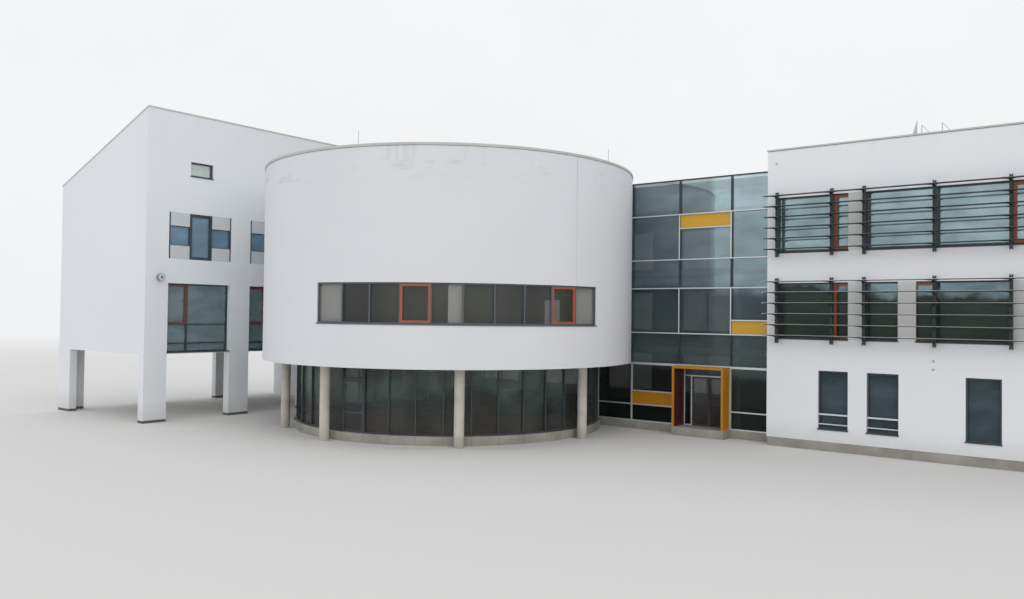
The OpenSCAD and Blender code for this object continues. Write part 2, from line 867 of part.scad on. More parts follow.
module drum_side_walls() {
    drum_segment(-180 - meet_a, win_a0 - seat_a, drum_low, drum_head);
    drum_segment(win_a1 + seat_a, meet_a, drum_low, drum_head);
}

module drum_apron() {
    drum_segment(win_a0, win_a1, drum_low, drum_sill);
}

module drum_front_wall() {
    drum_segment(win_a0, win_a1, drum_sill + drum_win_h, drum_head);
}

council_door_w = 700;

module drum_wall_back() {
    difference() {
        drum_segment(meet_a, 180 - meet_a, soffit, drum_head);
        place() at_drum() block([-council_door_w / 2, drum_in - cut, floor1],
            [council_door_w / 2, drum_r + cut, floor1 + door_h]);
    }
}

module drum_roof() {
    place() color("gray") at_drum() translate([0, 0, drum_deck - roof_t])
        cylinder(r = drum_in - skin, h = roof_t, $fn = arc_fn);
}

module drum_floor() {
    place() color(concrete) at_drum() translate([0, 0, soffit])
        cylinder(r = drum_in - skin, h = floor1 - soffit, $fn = arc_fn);
}

win_corner_r = drum_r - drum_reveal;

module drum_window_frame() {
    place() color(dark) for (i = [0 : pane_count - 1]) difference() {
        at_drum() translate([0, 0, drum_sill]) linear_extrude(drum_win_h)
            facet_plan(win_angles, i, win_corner_r, bar_d, drum_step / 2);
        at_facet(win_angles, i, win_corner_r) {
            w = facet_w(win_angles, i, win_corner_r) - bar_w;
            block([-2 * bar_d, -w / 2, drum_sill + bar_w], [bar_d, w / 2, drum_sill + drum_win_h - bar_w]);
        }
    }
}

module drum_window_glass() {
    place() color(pane) at_drum() translate([0, 0, drum_sill]) linear_extrude(drum_win_h)
        for (i = [0 : pane_count - 1])
            facet_plan(win_angles, i, win_corner_r - bar_d / cos(drum_step / 2), glass_t, drum_step / 2);
}

// Level on which a column stands: the paving, or the floor of the hall.
function column_foot(a) = a > meet_a && a < 180 - meet_a ? floor_z : 0;

module drum_columns() {
    place() color(concrete) at_drum() for (a = column_angles) rotate([0, 0, a])
        translate([column_r, 0, column_foot(a)])
            cylinder(d = column_d, h = column_top - column_foot(a), $fn = 64);
}

module drum_plinth() {
    place() color(concrete) linear_extrude(floor_z) difference() {
        translate([-drum_cx, -drum_cy]) circle(base_r + base_plinth, $fn = arc_fn);
        rect([-drum_cx - 2 * base_r, hall_y], [-drum_cx + 2 * base_r, hall_y + 2 * base_r]);
    }
}

door_rail_z = floor_z + drum_door_h;

// One element of the ground floor glazing without its glass field.
module base_element(i) {
    at_drum() translate([0, 0, floor_z]) linear_extrude(soffit - floor_z)
        facet_plan(base_angles, i, base_r, bar_d, base_step / 2);
}

// Hole in an element between two levels.
module base_hole(i, z0, z1) {
    w = facet_w(base_angles, i, base_r) - bar_w;
    at_facet(base_angles, i, base_r) block([-2 * bar_d, -w / 2, z0], [bar_d, w / 2, z1]);
}

module drum_base_frame() {
    place() color(dark) for (i = [0 : len(base_angles) - 2]) if (i != door_pane) difference() {
        base_element(i);
        base_hole(i, floor_z + bar_w, soffit - bar_w);
    }
}

module drum_door_frame() {
    place() color(dark) {
        difference() {
            base_element(door_pane);
            base_hole(door_pane, floor_z - cut, door_rail_z);
            base_hole(door_pane, door_rail_z + bar_w, soffit - bar_w);
        }
        at_drum_door_hinge() hinge_row(1, drum_door_h, true);
    }
}

base_glass_r = base_r - bar_d / cos(base_step / 2);

module drum_base_glass() {
    place() color(pane) for (i = [0 : len(base_angles) - 2]) {
        z0 = i == door_pane ? door_rail_z + bar_w / 2 : floor_z;
        at_drum() translate([0, 0, z0]) linear_extrude(soffit - z0)
            facet_plan(base_angles, i, base_glass_r, glass_t, base_step / 2);
    }
}

drum_leaf_w = facet_w(base_angles, door_pane, base_r) - bar_w - 2 * leaf_gap;

// Moves hinges to the axis of the drum door, on the outer face of its facet.
module at_drum_door_hinge() {
    at_facet(base_angles, door_pane, base_r)
        translate([0, (drum_leaf_w + leaf_gap) / 2, 0]) rotate([0, 0, 90]) children();
}

module drum_door() {
    place() color(dark) {
        at_drum_door_hinge() hinge_row(-1, drum_door_h, false);
        at_facet(base_angles, door_pane, base_r) {
            plate_yz(-leaf_t, leaf_t) window_bars([-drum_leaf_w / 2, floor_z + leaf_gap],
                [drum_leaf_w / 2, door_rail_z - leaf_gap], [], [floor_z + kick_rail], leaf_bar);
            translate([0, (leaf_bar - drum_leaf_w) / 2, drum_pull_z])
                rotate([0, 0, 90]) pull_bar(drum_pull_l);
        }
    }
}

module drum_door_glass() {
    place() color(pane) at_facet(base_angles, door_pane, base_r)
        plate_yz(-(leaf_t + glass_t) / 2, glass_t) difference() {
            rect([-drum_leaf_w / 2 + leaf_bar, floor_z + leaf_gap + leaf_bar],
                [drum_leaf_w / 2 - leaf_bar, door_rail_z - leaf_gap - leaf_bar]);
            rect([-drum_leaf_w, floor_z + kick_rail - leaf_bar / 2],
                [drum_leaf_w, floor_z + kick_rail + leaf_bar / 2]);
        }
}

// Left block

function left_top(x) = left_low + (x - west_x) * left_slope - coping_t;

left_sill1 = left_under + left_step;
mid_margin = (opening_l - left_mid_w) / 2;
attic_a = [bay_ys[0] + mid_margin, attic_sill];
attic_b = [bay_ys[0] + opening_l - mid_margin, attic_sill + attic_h];

module left_low_windows() {
    for (y = bay_ys) rect([y, left_sill1], [y + opening_l, left_head1]);
}

module left_high_windows() {
    for (y = bay_ys) rect([y, left_sill2], [y + opening_l, left_sill2 + left_win2_h]);
}

// Long wall of the left block in Y and Z: wall on piers, closed to the ground at the back.
module long_wall_shape(top, y0) {
    difference() {
        rect([y0, 0], [wing_d, top]);
        for (y = bay_ys) rect([y, -cut], [y + opening_l, left_under]);
    }
}

module left_front_wall() {
    place() color(white) difference() {
        plate_yz(front_in, pier_t) difference() {
            long_wall_shape(left_high, gable_y);
            left_low_windows();
            left_high_windows();
            rect(attic_a, attic_b);
        }
        slope_cutter();
    }
}

// Sloping strip in X and Z from the wall heads of the left block up to the height h.
module slope_shape(h) {
    x0 = west_x - slope_over;
    x1 = -left_x + slope_over;
    polygon([[x0, left_top(x0)], [x1, left_top(x1)], [x1, left_top(x1) + h], [x0, left_top(x0) + h]]);
}

module slope_cutter() {
    plate_xz(gable_y - cut, wing_d - gable_y + 2 * cut) slope_shape(left_high);
}

module left_west_wall() {
    place() color(white) difference() {
        plate_yz(west_x, wall_t) difference() {
            long_wall_shape(left_high, gable_y);
            for (y = bay_ys, f = [floor1, floor2]) west_window_shape(y, f);
        }
        slope_cutter();
    }
}

module west_window_shape(y, f) {
    rect([y, f + band_sill], [y + opening_l, f + band_sill + band_h]);
}

// Outline of the gable between the long walls, down to the level z0.
module gable_shape(z0) {
    difference() {
        rect([west_x + wall_t, z0], [front_in, left_high]);
        slope_shape(left_high);
    }
}

module left_gable_wall() {
    place() color(white) plate_xz(gable_y, wall_t) {
        gable_shape(left_under);
        rect([west_x + wall_t, 0], [west_x + gable_pier_w, left_under]);
    }
}

module left_cross_walls() {
    place() color(white) {
        plate_xz(wing_d - wall_t, wall_t) gable_shape(0);
        plate_xz(core_y, wall_t) rect([west_x + wall_t, 0], [front_in, left_under]);
    }
}

module left_floors() {
    place() color(concrete) {
        block([west_x + wall_t, gable_y + wall_t, left_under],
            [front_in, wing_d - wall_t, floor1 - left_floor_down]);
        for (f = [floor2, floor3])
            block([west_x + wall_t, gable_y + wall_t, f - slab_t - left_floor_down],
                [front_in, wing_d - wall_t, f - left_floor_down]);
        block([west_x + wall_t, core_y + wall_t, 0], [front_in, wing_d - wall_t, floor_z]);
    }
}

module left_roof() {
    x0 = west_x + wall_t;
    place() color("gray") plate_xz(gable_y + wall_t, wing_d - gable_y - 2 * wall_t) polygon([
        [x0, left_top(x0) - left_drop - slab_t], [front_in, left_top(front_in) - left_drop - slab_t],
        [front_in, left_top(front_in) - left_drop], [x0, left_top(x0) - left_drop]]);
}

// Profiles of one upper window: outer frame, tall middle light, rails along the light panels.
module left_high_bars(y) {
    head = left_sill2 + left_win2_h;
    window_bars([y, left_sill2], [y + opening_l, head], [], [], left_end_bar);
    window_bars([y + mid_margin, left_sill2], [y + opening_l - mid_margin, head], [], [], left_mid_bar);
    for (x = [y, y + opening_l - mid_margin], z = [left_sill2 + left_panel_h, head - left_panel_h])
        rect([x, z - bar_w / 2], [x + mid_margin, z + bar_w / 2]);
}

module left_window_frames() {
    place() color(dark) {
        plate_yz(-left_x - left_reveal1 - bar_d, bar_d) for (y = bay_ys)
            window_bars([y, left_sill1], [y + opening_l, left_head1], [y + left_mullion],
                [left_sill1 + left_spandrel, left_rail], bar_w);
        plate_yz(-left_x - left_reveal2 - bar_d, bar_d) for (y = bay_ys) left_high_bars(y);
        plate_yz(-left_x - reveal - bar_d, bar_d) window_bars(attic_a, attic_b, [], [], bar_w);
        plate_yz(west_x + reveal, bar_d) for (y = bay_ys, f = [floor1, floor2])
            window_bars([y, f + band_sill], [y + opening_l, f + band_sill + band_h],
                [y + opening_l / 2], [], bar_w);
    }
}

module left_glass() {
    place() color(pane) {
        plate_yz(-left_x - left_reveal1 - bar_d - glass_t, glass_t) left_low_windows();
        plate_yz(-left_x - left_reveal2 - bar_d - glass_t, glass_t) left_high_windows();
        plate_yz(-left_x - reveal - bar_d - glass_t, glass_t) rect(attic_a, attic_b);
        plate_yz(west_x + reveal + bar_d, glass_t)
            for (y = bay_ys, f = [floor1, floor2]) west_window_shape(y, f);
    }
}

// Light panels on the profiles, below and above the side lights of the upper windows.
module left_panels() {
    place() color("lightgray") plate_yz(-left_x - left_reveal2, left_reveal2 - left_panel_in)
        for (y = bay_ys, side = [y + left_end_bar, y + opening_l - mid_margin],
            z = [left_sill2, left_sill2 + left_win2_h - left_panel_h])
            rect([side, z], [side + mid_margin - left_end_bar, z + left_panel_h]);
}

// Shared pieces

module orange_casements() {
    place() color(orange) {
        plate_xz(reveal, bar_d) for (k = [0, 1], i = casement_fields[k]) difference() {
            band_field(k, i);
            rect([band_bars[k][i] + bar_w / 2 + casement_w, band_floors[k] + band_sill + bar_w + casement_w],
                [band_bars[k][i + 1] - bar_w / 2 - casement_w, strip_high(k) - bar_w - casement_w]);
        }
        for (i = win_casements) at_facet(win_angles, i, win_corner_r) {
            w = facet_w(win_angles, i, win_corner_r) - bar_w;
            plate_yz(-bar_d + skin, bar_d)
                window_bars([-w / 2, drum_sill + bar_w], [w / 2, drum_sill + drum_win_h - bar_w],
                    [], [], casement_w);
        }
        plate_yz(-left_x - left_reveal1 - bar_d, bar_d) for (y = [bay_ys[0], bay_ys[1]])
            window_bars([y + bar_w, left_rail + bar_w / 2],
                [y + left_mullion - bar_w / 2, left_head1 - bar_w], [], [], casement_w);
    }
}

module copings() {
    o = coping_out;
    place() color("lightgray") {
        translate([0, 0, wing_head]) linear_extrude(coping_t) difference() {
            rect([-o, -o], [wing_l + o, wing_d + o]);
            rect([wall_t, wall_t], [wing_l - wall_t, wing_d - wall_t]);
        }
        at_drum() translate([0, 0, drum_head]) linear_extrude(coping_t) difference() {
            circle(drum_r + o, $fn = arc_fn);
            circle(drum_in, $fn = arc_fn);
        }
        plate_xz(gable_y - o, wing_d - gable_y + 2 * o) {
            coping_strip(west_x - o, west_x + wall_t);
            coping_strip(front_in, -left_x + o);
        }
        for (y = [gable_y - o, wing_d - wall_t])
            plate_xz(y, wall_t + o) coping_strip(west_x + wall_t, front_in);
    }
}

// Sloped capping on the wall heads of the left block between two places.
module coping_strip(x0, x1) {
    intersection() {
        rect([x0, 0], [x1, 2 * left_high]);
        slope_shape(coping_t);
    }
}

// Two rods on the drum head; a pointed fin and two braced stays on the head of the wing wall.
module roof_rods() {
    place() color("gray") {
        for (a = rod_angles) at_drum() rotate([0, 0, a]) translate([drum_r - rod_in, 0, drum_h])
            cylinder(d = rod_d, h = rod_h, $fn = 48);
        translate([0, 0, wing_h]) plate_xz(stay_y, stay_w) {
            polygon([[fin_x0, 0], [fin_x1, 0], [fin_x1, fin_h]]);
            for (x = stay_xs) {
                rect([x, 0], [x + stay_w, stay_h]);
                polygon([[x, stay_h], [x + stay_w, stay_h], [x + stay_w + stay_l, 0], [x + stay_l, 0]]);
            }
        }
    }
}

// Lamp on the courtyard wall near the gable: a round head on a neck, with its box beside it.
module wall_lamp() {
    place() color(dark) translate([-left_x, lamp_y, lamp_z]) {
        rotate([0, 90, 0]) {
            cylinder(d = lamp_neck_d, h = lamp_out, $fn = 64);
            translate([0, 0, lamp_out - lamp_head]) cylinder(d = lamp_d, h = lamp_head, $fn = 96);
        }
        block([0, lamp_neck_d / 4, 0], [lamp_box, lamp_d / 2 + lamp_box / 2, lamp_box]);
    }
}

wing_plinth();
wing_front_wall();
wing_front_ground();
wing_back_wall();
wing_back_ground();
wing_end_walls();
wing_floors();
wing_roof();
wing_window_frames();
wing_glass();
wing_panels();
louvre_posts();
louvre_brackets();
louvre_blades();
hall_plinth();
hall_frame();
hall_caps();
hall_ground_frame();
hall_glass();
hall_panels();
hall_column();
hall_floors();
hall_roof();
hall_back_wall();
hall_back_frames();
portal_frame();
portal_lining();
entrance_screen();
entrance_leaf_left();
entrance_leaf_right();
leaf_left_glass();
leaf_right_glass();
drum_side_walls();
drum_wall_back();
drum_apron();
drum_front_wall();
drum_roof();
drum_floor();
drum_window_frame();
drum_window_glass();
drum_columns();
drum_plinth();
drum_base_frame();
drum_base_glass();
drum_door_frame();
drum_door();
drum_door_glass();
left_front_wall();
left_gable_wall();
left_west_wall();
left_cross_walls();
left_floors();
left_roof();
left_window_frames();
left_glass();
left_panels();
orange_casements();
copings();
roof_rods();
wall_lamp();
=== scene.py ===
"""Finishes and small parts of a town hall at half size: a white drum on round columns in front of
a glazed hall, with a louvred office wing on the right and a long block on piers on the left."""
import math

import bmesh
import bpy
import numpy as np
from mathutils import Matrix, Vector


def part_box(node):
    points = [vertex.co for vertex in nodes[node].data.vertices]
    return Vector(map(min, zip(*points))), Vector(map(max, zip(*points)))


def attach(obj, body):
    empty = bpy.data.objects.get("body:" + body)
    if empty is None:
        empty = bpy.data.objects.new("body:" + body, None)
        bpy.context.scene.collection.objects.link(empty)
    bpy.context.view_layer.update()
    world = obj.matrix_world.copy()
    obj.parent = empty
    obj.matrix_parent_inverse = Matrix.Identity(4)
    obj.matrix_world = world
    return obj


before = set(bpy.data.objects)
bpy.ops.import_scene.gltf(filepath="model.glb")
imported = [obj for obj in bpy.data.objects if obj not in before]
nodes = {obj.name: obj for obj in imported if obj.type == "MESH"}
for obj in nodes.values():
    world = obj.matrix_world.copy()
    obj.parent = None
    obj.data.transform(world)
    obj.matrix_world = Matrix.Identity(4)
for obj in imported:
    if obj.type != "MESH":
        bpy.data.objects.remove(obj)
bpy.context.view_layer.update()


# View. The building is seen from the height of an upper window, far to the right of its middle,
# so that the long block runs away on the left and the wing leaves the picture on the right.
camera_place = np.array([10.5532, -16.3525, 2.5625])
heading, climb, roll = np.radians([-37.80, 1.1501, 0.6883])
focal_mm, sensor_mm = 29.63, 36.0
upward_shift = -0.00125

ahead = np.array([math.sin(heading) * math.cos(climb), math.cos(heading) * math.cos(climb),
                  math.sin(climb)])
level_right = np.array([math.cos(heading), -math.sin(heading), 0.0])
level_up = np.cross(level_right, ahead)
right = level_right * math.cos(roll) + level_up * math.sin(roll)
up = level_up * math.cos(roll) - level_right * math.sin(roll)
camera_data = bpy.data.cameras.new("camera")
camera_data.sensor_fit = "HORIZONTAL"
camera_data.sensor_width = sensor_mm
camera_data.lens = focal_mm
camera_data.shift_y = upward_shift
camera_data.clip_end = 900.0
camera = bpy.data.objects.new("camera", camera_data)
turn = np.eye(4)
turn[:3, :4] = np.column_stack([right, up, -ahead, camera_place])
camera.matrix_world = Matrix(turn.tolist())
bpy.context.scene.collection.objects.link(camera)
bpy.context.scene.camera = camera
bpy.context.scene.view_settings.view_transform = "Standard"


# Light. A bright overcast dome, and one wide soft lamp from the right front that lights the long
# side of the block. The backdrop is nearly white and shows in the glass and the metal too.
def linear(code):
    """Linear colour of an sRGB hex code: each share c becomes c / 12.92 when dark, and otherwise
    (c + 0.055) / 1.055 raised to 2.4."""
    shares = np.array([int(code[i:i + 2], 16) / 255 for i in (1, 3, 5)])
    shares = np.where(shares <= 0.04045, shares / 12.92, ((shares + 0.055) / 1.055) ** 2.4)
    return (*shares.tolist(), 1.0)


def add_node(tree, kind, inputs={}, to=None, **settings):
    """Adds one node. Settings are its own properties, and each input is a value, a socket or another
    node, whose first output in use feeds it. `to` is the socket that the new node feeds."""
    node = tree.nodes.new("ShaderNode" + kind)
    for name, value in settings.items():
        setattr(node, name, value)
    for name, value in inputs.items():
        named = [s for s in node.inputs if s.enabled and s.name == name]
        socket = named[0] if named else node.inputs[name]
        if isinstance(value, bpy.types.Node):
            value = next(output for output in value.outputs if output.enabled)
        if isinstance(value, bpy.types.NodeSocket):
            tree.links.new(value, socket)
        else:
            socket.default_value = value
    if to is not None:
        tree.links.new(next(output for output in node.outputs if output.enabled), to)
    return node


backdrop_code = "#FBFCFE"
world = bpy.data.worlds.new("overcast_dome")
bpy.context.scene.world = world
world.use_nodes = True
sky = world.node_tree
sky.nodes.clear()
direction = add_node(sky, "TexCoord").outputs["Generated"]
height = add_node(sky, "SeparateXYZ", {"Vector": direction}).outputs["Z"]
clouds = add_node(sky, "TexNoise", {"Vector": direction, "Scale": 2.2, "Detail": 5.0, "Roughness": 0.6})
cloud_light = add_node(sky, "MapRange", {"Value": clouds, "From Min": 0.35, "From Max": 0.7,
                                         "To Min": 0.955, "To Max": 1.0})
lift = add_node(sky, "MapRange", {"Value": height, "From Min": 0.0, "From Max": 0.7,
                                  "To Min": 0.94, "To Max": 1.0})
backdrop_strength = add_node(sky, "Math", {0: cloud_light, 1: lift}, operation="MULTIPLY")
backdrop = add_node(sky, "Background", {"Color": linear(backdrop_code), "Strength": backdrop_strength})
dome = add_node(sky, "Background", {"Color": linear("#F8FAFF"), "Strength": 0.94})
path = add_node(sky, "LightPath").outputs
seen = add_node(sky, "Math", {0: path["Is Camera Ray"], 1: path["Is Glossy Ray"]}, operation="ADD")
seen = add_node(sky, "Math", {0: seen, 1: path["Is Transmission Ray"]}, operation="ADD", use_clamp=True)
sky_mix = add_node(sky, "MixShader", {0: seen, 1: dome, 2: backdrop})
add_node(sky, "OutputWorld", {"Surface": sky_mix})

lamp_data = bpy.data.lights.new("soft_front_lamp", "SUN")
lamp_data.energy = 0.32
lamp_data.angle = math.radians(60)
lamp_data.color = linear("#FFFCF6")[:3]
soft_lamp = bpy.data.objects.new("soft_front_lamp", lamp_data)
soft_lamp.rotation_euler = (math.radians(48), 0.0, math.radians(56))
bpy.context.scene.collection.objects.link(soft_lamp)


# Floor. A plain pale studio floor, matt, that fades into the backdrop far behind the building;
# it is not part of the building.
def new_mesh(name, places, faces):
    """Makes a mesh object from places and faces. Doubled points are merged, which closes seams and
    poles, and the normals are turned outwards."""
    mesh = bpy.data.meshes.new(name)
    mesh.from_pydata(np.asarray(places, float).reshape(-1, 3).tolist(), [], faces)
    shell = bmesh.new()
    shell.from_mesh(mesh)
    bmesh.ops.remove_doubles(shell, verts=shell.verts, dist=1e-6)
    bmesh.ops.recalc_face_normals(shell, faces=shell.faces)
    shell.to_mesh(mesh)
    shell.free()
    thing = bpy.data.objects.new(name, mesh)
    bpy.context.scene.collection.objects.link(thing)
    return thing


def nodes_of(material):
    """The node tree of a material and its Principled shader."""
    return material.node_tree, material.node_tree.nodes["Principled BSDF"]


def new_material(name):
    """Starts a material with one Principled shader, and returns it with its tree, the shader and the
    places on the object, which its patterns read."""
    made = bpy.data.materials.new(name)
    made.use_nodes = True
    tree, shader = nodes_of(made)
    return made, tree, shader, add_node(tree, "TexCoord").outputs["Object"]


floor_half, fade_from, fade_to = 420.0, 22.0, 90.0
floor_corners = [[x * floor_half, y * floor_half, 0.0] for x, y in ((-1, -1), (1, -1), (1, 1), (-1, 1))]
floor = new_mesh("studio_floor", floor_corners, [[0, 1, 2, 3]])
floor_material, tree, shader, place = new_material("pale_studio_floor")
shader.inputs["Base Color"].default_value = linear("#DEDCD8")
shader.inputs["Roughness"].default_value = 0.9
distance = add_node(tree, "VectorMath", {0: place}, operation="LENGTH").outputs["Value"]
fade = add_node(tree, "MapRange", {"Value": distance, "From Min": fade_from, "From Max": fade_to},
                interpolation_type="SMOOTHSTEP")
seen = add_node(tree, "Math", {0: fade, 1: add_node(tree, "LightPath").outputs["Is Camera Ray"]},
                operation="MULTIPLY")
far_floor = add_node(tree, "Emission", {"Color": linear(backdrop_code), "Strength": 0.915})
add_node(tree, "MixShader", {0: seen, 1: shader, 2: far_floor},
         to=tree.nodes["Material Output"].inputs["Surface"])
floor.data.materials.append(floor_material)


# Outer walls. Masonry with insulation under a fine mineral render, rubbed flat and painted chalky
# white. It is a little cloudy, the foot is soiled, and rain leaves short faint streaks under the
# cappings. The grain is 2 mm on the building and is drawn coarser so that it shows.
def dress(material, *names):
    """Gives the named solids one finish."""
    for name in names:
        for slot in nodes[name].material_slots:
            slot.material = material


def mineral_render(name, fresh, cloudy_code, head, streaks):
    """White mineral render: a cloudy base of two whites, short streaks under the wall head and a
    soiled foot."""
    made, tree, shader, place = new_material(name)
    z = add_node(tree, "SeparateXYZ", {"Vector": place}).outputs["Z"]
    clouds = add_node(tree, "TexNoise", {"Vector": place, "Scale": 0.55, "Detail": 5.0})
    cloudy = add_node(tree, "MapRange", {"Value": clouds, "From Min": 0.35, "From Max": 0.68,
                                         "To Max": 0.3})
    clean = add_node(tree, "Mix", {"Factor": cloudy, "A": linear(fresh), "B": linear(cloudy_code)},
                     data_type="RGBA")
    tall = add_node(tree, "Mapping", {"Vector": place, "Scale": (1.0, 1.0, 0.12)})
    runs = add_node(tree, "TexNoise", {"Vector": tall, "Scale": 3.4, "Detail": 4.0, "Roughness": 0.6})
    run = add_node(tree, "MapRange", {"Value": runs, "From Min": 0.58, "From Max": 0.76})
    near_head = add_node(tree, "MapRange", {"Value": z, "From Min": head - 0.42,
                                            "From Max": head - 0.05, "To Max": streaks})
    streak = add_node(tree, "Math", {0: run, 1: near_head}, operation="MULTIPLY")
    streaked = add_node(tree, "Mix", {"Factor": streak, "A": clean, "B": linear("#9A9B96")},
                        data_type="RGBA")
    uneven = add_node(tree, "TexNoise", {"Vector": place, "Scale": 3.0, "Detail": 3.0})
    edge = add_node(tree, "Math", {0: uneven, 1: -0.3, 2: z}, operation="MULTIPLY_ADD")
    foot = add_node(tree, "MapRange", {"Value": edge, "From Min": 0.0, "From Max": 0.4,
                                       "To Min": 0.3, "To Max": 0.0})
    add_node(tree, "Mix", {"Factor": foot, "A": streaked, "B": linear("#B7B2AA")},
             to=shader.inputs["Base Color"], data_type="RGBA")
    grain = add_node(tree, "TexNoise", {"Vector": place, "Scale": 90.0, "Detail": 3.0, "Roughness": 0.7})
    add_node(tree, "Bump", {"Height": grain, "Strength": 0.08, "Distance": 0.001},
             to=shader.inputs["Normal"])
    shader.inputs["Roughness"].default_value = 0.92
    shader.inputs["Specular IOR Level"].default_value = 0.25
    return made


wing_head, block_head, drum_head = 5.950, 7.200, 5.755
dress(mineral_render("mineral_render_wing", "#F1F3F4", "#E8EAEC", wing_head, streaks=0.1),
      "wing_front_wall", "wing_front_ground", "wing_back_wall", "wing_back_ground", "wing_end_walls",
      "hall_back_wall")
dress(mineral_render("mineral_render_block", "#EBEEF0", "#E2E5E7", block_head, streaks=0.08),
      "left_front_wall", "left_gable_wall", "left_west_wall", "left_cross_walls")
drum_render = mineral_render("mineral_render_drum", "#E4E6E8", "#DADCDE", drum_head, streaks=0.55)
dress(drum_render, "drum_side_walls", "drum_wall_back", "drum_apron", "drum_front_wall")

# A settling joint runs down the drum from its head to the window: a hair crack, drawn 9 mm wide.
# Below the head the render has a few faint brownish smudges.
drum_r = 4.25
drum_axis = np.array(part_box("drum_roof")).mean(axis=0)
crack_angle, crack_half = math.radians(-12.2), 0.0045
crack_foot, crack_top = 3.165, 5.70
smudge_foot, smudge_low, smudge_high, smudge_top = 5.05, 5.30, 5.42, 5.55


def round_drum(tree):
    """Places measured from the axis of the drum, their X, Y and Z, and their angle about it."""
    place = add_node(tree, "TexCoord").outputs["Object"]
    from_axis = add_node(tree, "VectorMath", {0: place, 1: (drum_axis[0], drum_axis[1], 0.0)},
                         operation="SUBTRACT")
    parts = add_node(tree, "SeparateXYZ", {"Vector": from_axis}).outputs
    angle = add_node(tree, "Math", {0: parts["Y"], 1: parts["X"]}, operation="ARCTAN2")
    return from_axis, parts, angle


tree, shader = nodes_of(drum_render)
sound_render = shader.inputs["Base Color"].links[0].from_socket
parts, angle = round_drum(tree)[1:]
near_crack = add_node(tree, "Math", {0: angle, 1: crack_angle, 2: crack_half / drum_r}, operation="COMPARE")
depth = add_node(tree, "MapRange", {"Value": parts["Z"], "From Min": crack_foot, "From Max": crack_top,
                                    "To Min": 0.3, "To Max": 0.7})
above = add_node(tree, "Math", {0: parts["Z"], 1: crack_foot}, operation="GREATER_THAN")
crack = add_node(tree, "Math", {0: near_crack, 1: above}, operation="MULTIPLY")
crack = add_node(tree, "Math", {0: crack, 1: depth}, operation="MULTIPLY")
flat = add_node(tree, "Mapping", {"Vector": add_node(tree, "TexCoord").outputs["Object"],
                                  "Scale": (1.0, 1.0, 3.5)})
spots = add_node(tree, "TexNoise", {"Vector": flat, "Scale": 1.5, "Detail": 4.0, "Roughness": 0.6})
spot = add_node(tree, "MapRange", {"Value": spots, "From Min": 0.55, "From Max": 0.75, "To Max": 0.4})
fade_in = add_node(tree, "MapRange", {"Value": parts["Z"], "From Min": smudge_foot,
                                      "From Max": smudge_low})
fade_out = add_node(tree, "MapRange", {"Value": parts["Z"], "From Min": smudge_high,
                                       "From Max": smudge_top, "To Min": 1.0, "To Max": 0.0})
smudge = add_node(tree, "Math", {0: fade_in, 1: fade_out}, operation="MULTIPLY")
smudge = add_node(tree, "Math", {0: smudge, 1: spot}, operation="MULTIPLY")
smudged = add_node(tree, "Mix", {"Factor": smudge, "A": sound_render, "B": linear("#A39D98")},
                   data_type="RGBA")
add_node(tree, "Mix", {"Factor": crack, "A": smudged, "B": linear("#8F9293")},
         to=shader.inputs["Base Color"], data_type="RGBA")


# Window and louvre metal. Extruded aluminium profiles with a satin powder coat, anthracite on most
# windows, blue grey on the drum window and darker on the posts. The coat is fine grained and a
# little chalked on top, where dust lies.
def powder_coat(name, colour_code, dust_code, roughness=0.42):
    """Powder coated metal: an even colour, worn in soft patches, with dust on faces that look up."""
    made, tree, shader, place = new_material(name)
    normal = add_node(tree, "NewGeometry").outputs["Normal"]
    facing = add_node(tree, "SeparateXYZ", {"Vector": normal}).outputs["Z"]
    dust = add_node(tree, "MapRange", {"Value": facing, "From Min": 0.5, "From Max": 1.0, "To Max": 0.4})
    patches = add_node(tree, "TexNoise", {"Vector": place, "Scale": 2.2, "Detail": 4.0})
    worn = add_node(tree, "MapRange", {"Value": patches, "From Min": 0.35, "From Max": 0.7,
                                       "To Max": 0.12})
    coat = add_node(tree, "Mix", {"Factor": worn, "A": linear(colour_code), "B": linear(dust_code)},
                    data_type="RGBA")
    add_node(tree, "Mix", {"Factor": dust, "A": coat, "B": linear(dust_code)},
             to=shader.inputs["Base Color"], data_type="RGBA")
    grain = add_node(tree, "TexNoise", {"Vector": place, "Scale": 400.0, "Detail": 2.0})
    add_node(tree, "Bump", {"Height": grain, "Strength": 0.05, "Distance": 0.001},
             to=shader.inputs["Normal"])
    shader.inputs["Roughness"].default_value = roughness
    return made


anthracite = powder_coat("anthracite_powder_coat", "#353E44", "#7C8184")
dress(anthracite, "wing_window_frames", "hall_frame", "hall_back_frames", "drum_base_frame",
      "drum_door_frame", "drum_door", "left_window_frames")
drum_coat = powder_coat("blue_grey_powder_coat", "#535D65", "#868C90")
dress(drum_coat, "drum_window_frame")
post_coat = powder_coat("post_powder_coat", "#2A3031", "#5E6364")
dress(post_coat, "louvre_posts", "louvre_brackets")


# Window sills. Folded aluminium sheet with the coat of the windows: it lies on the wall in front of
# each frame and ends in a nose that stands out of the wall face, so that water drips clear of it.
def rows(x, y, z):
    """Places from X, Y and Z, each an array or a single number, one row to a place."""
    return np.stack(np.broadcast_arrays(x, y, z), axis=-1).astype(float).reshape(-1, 3)


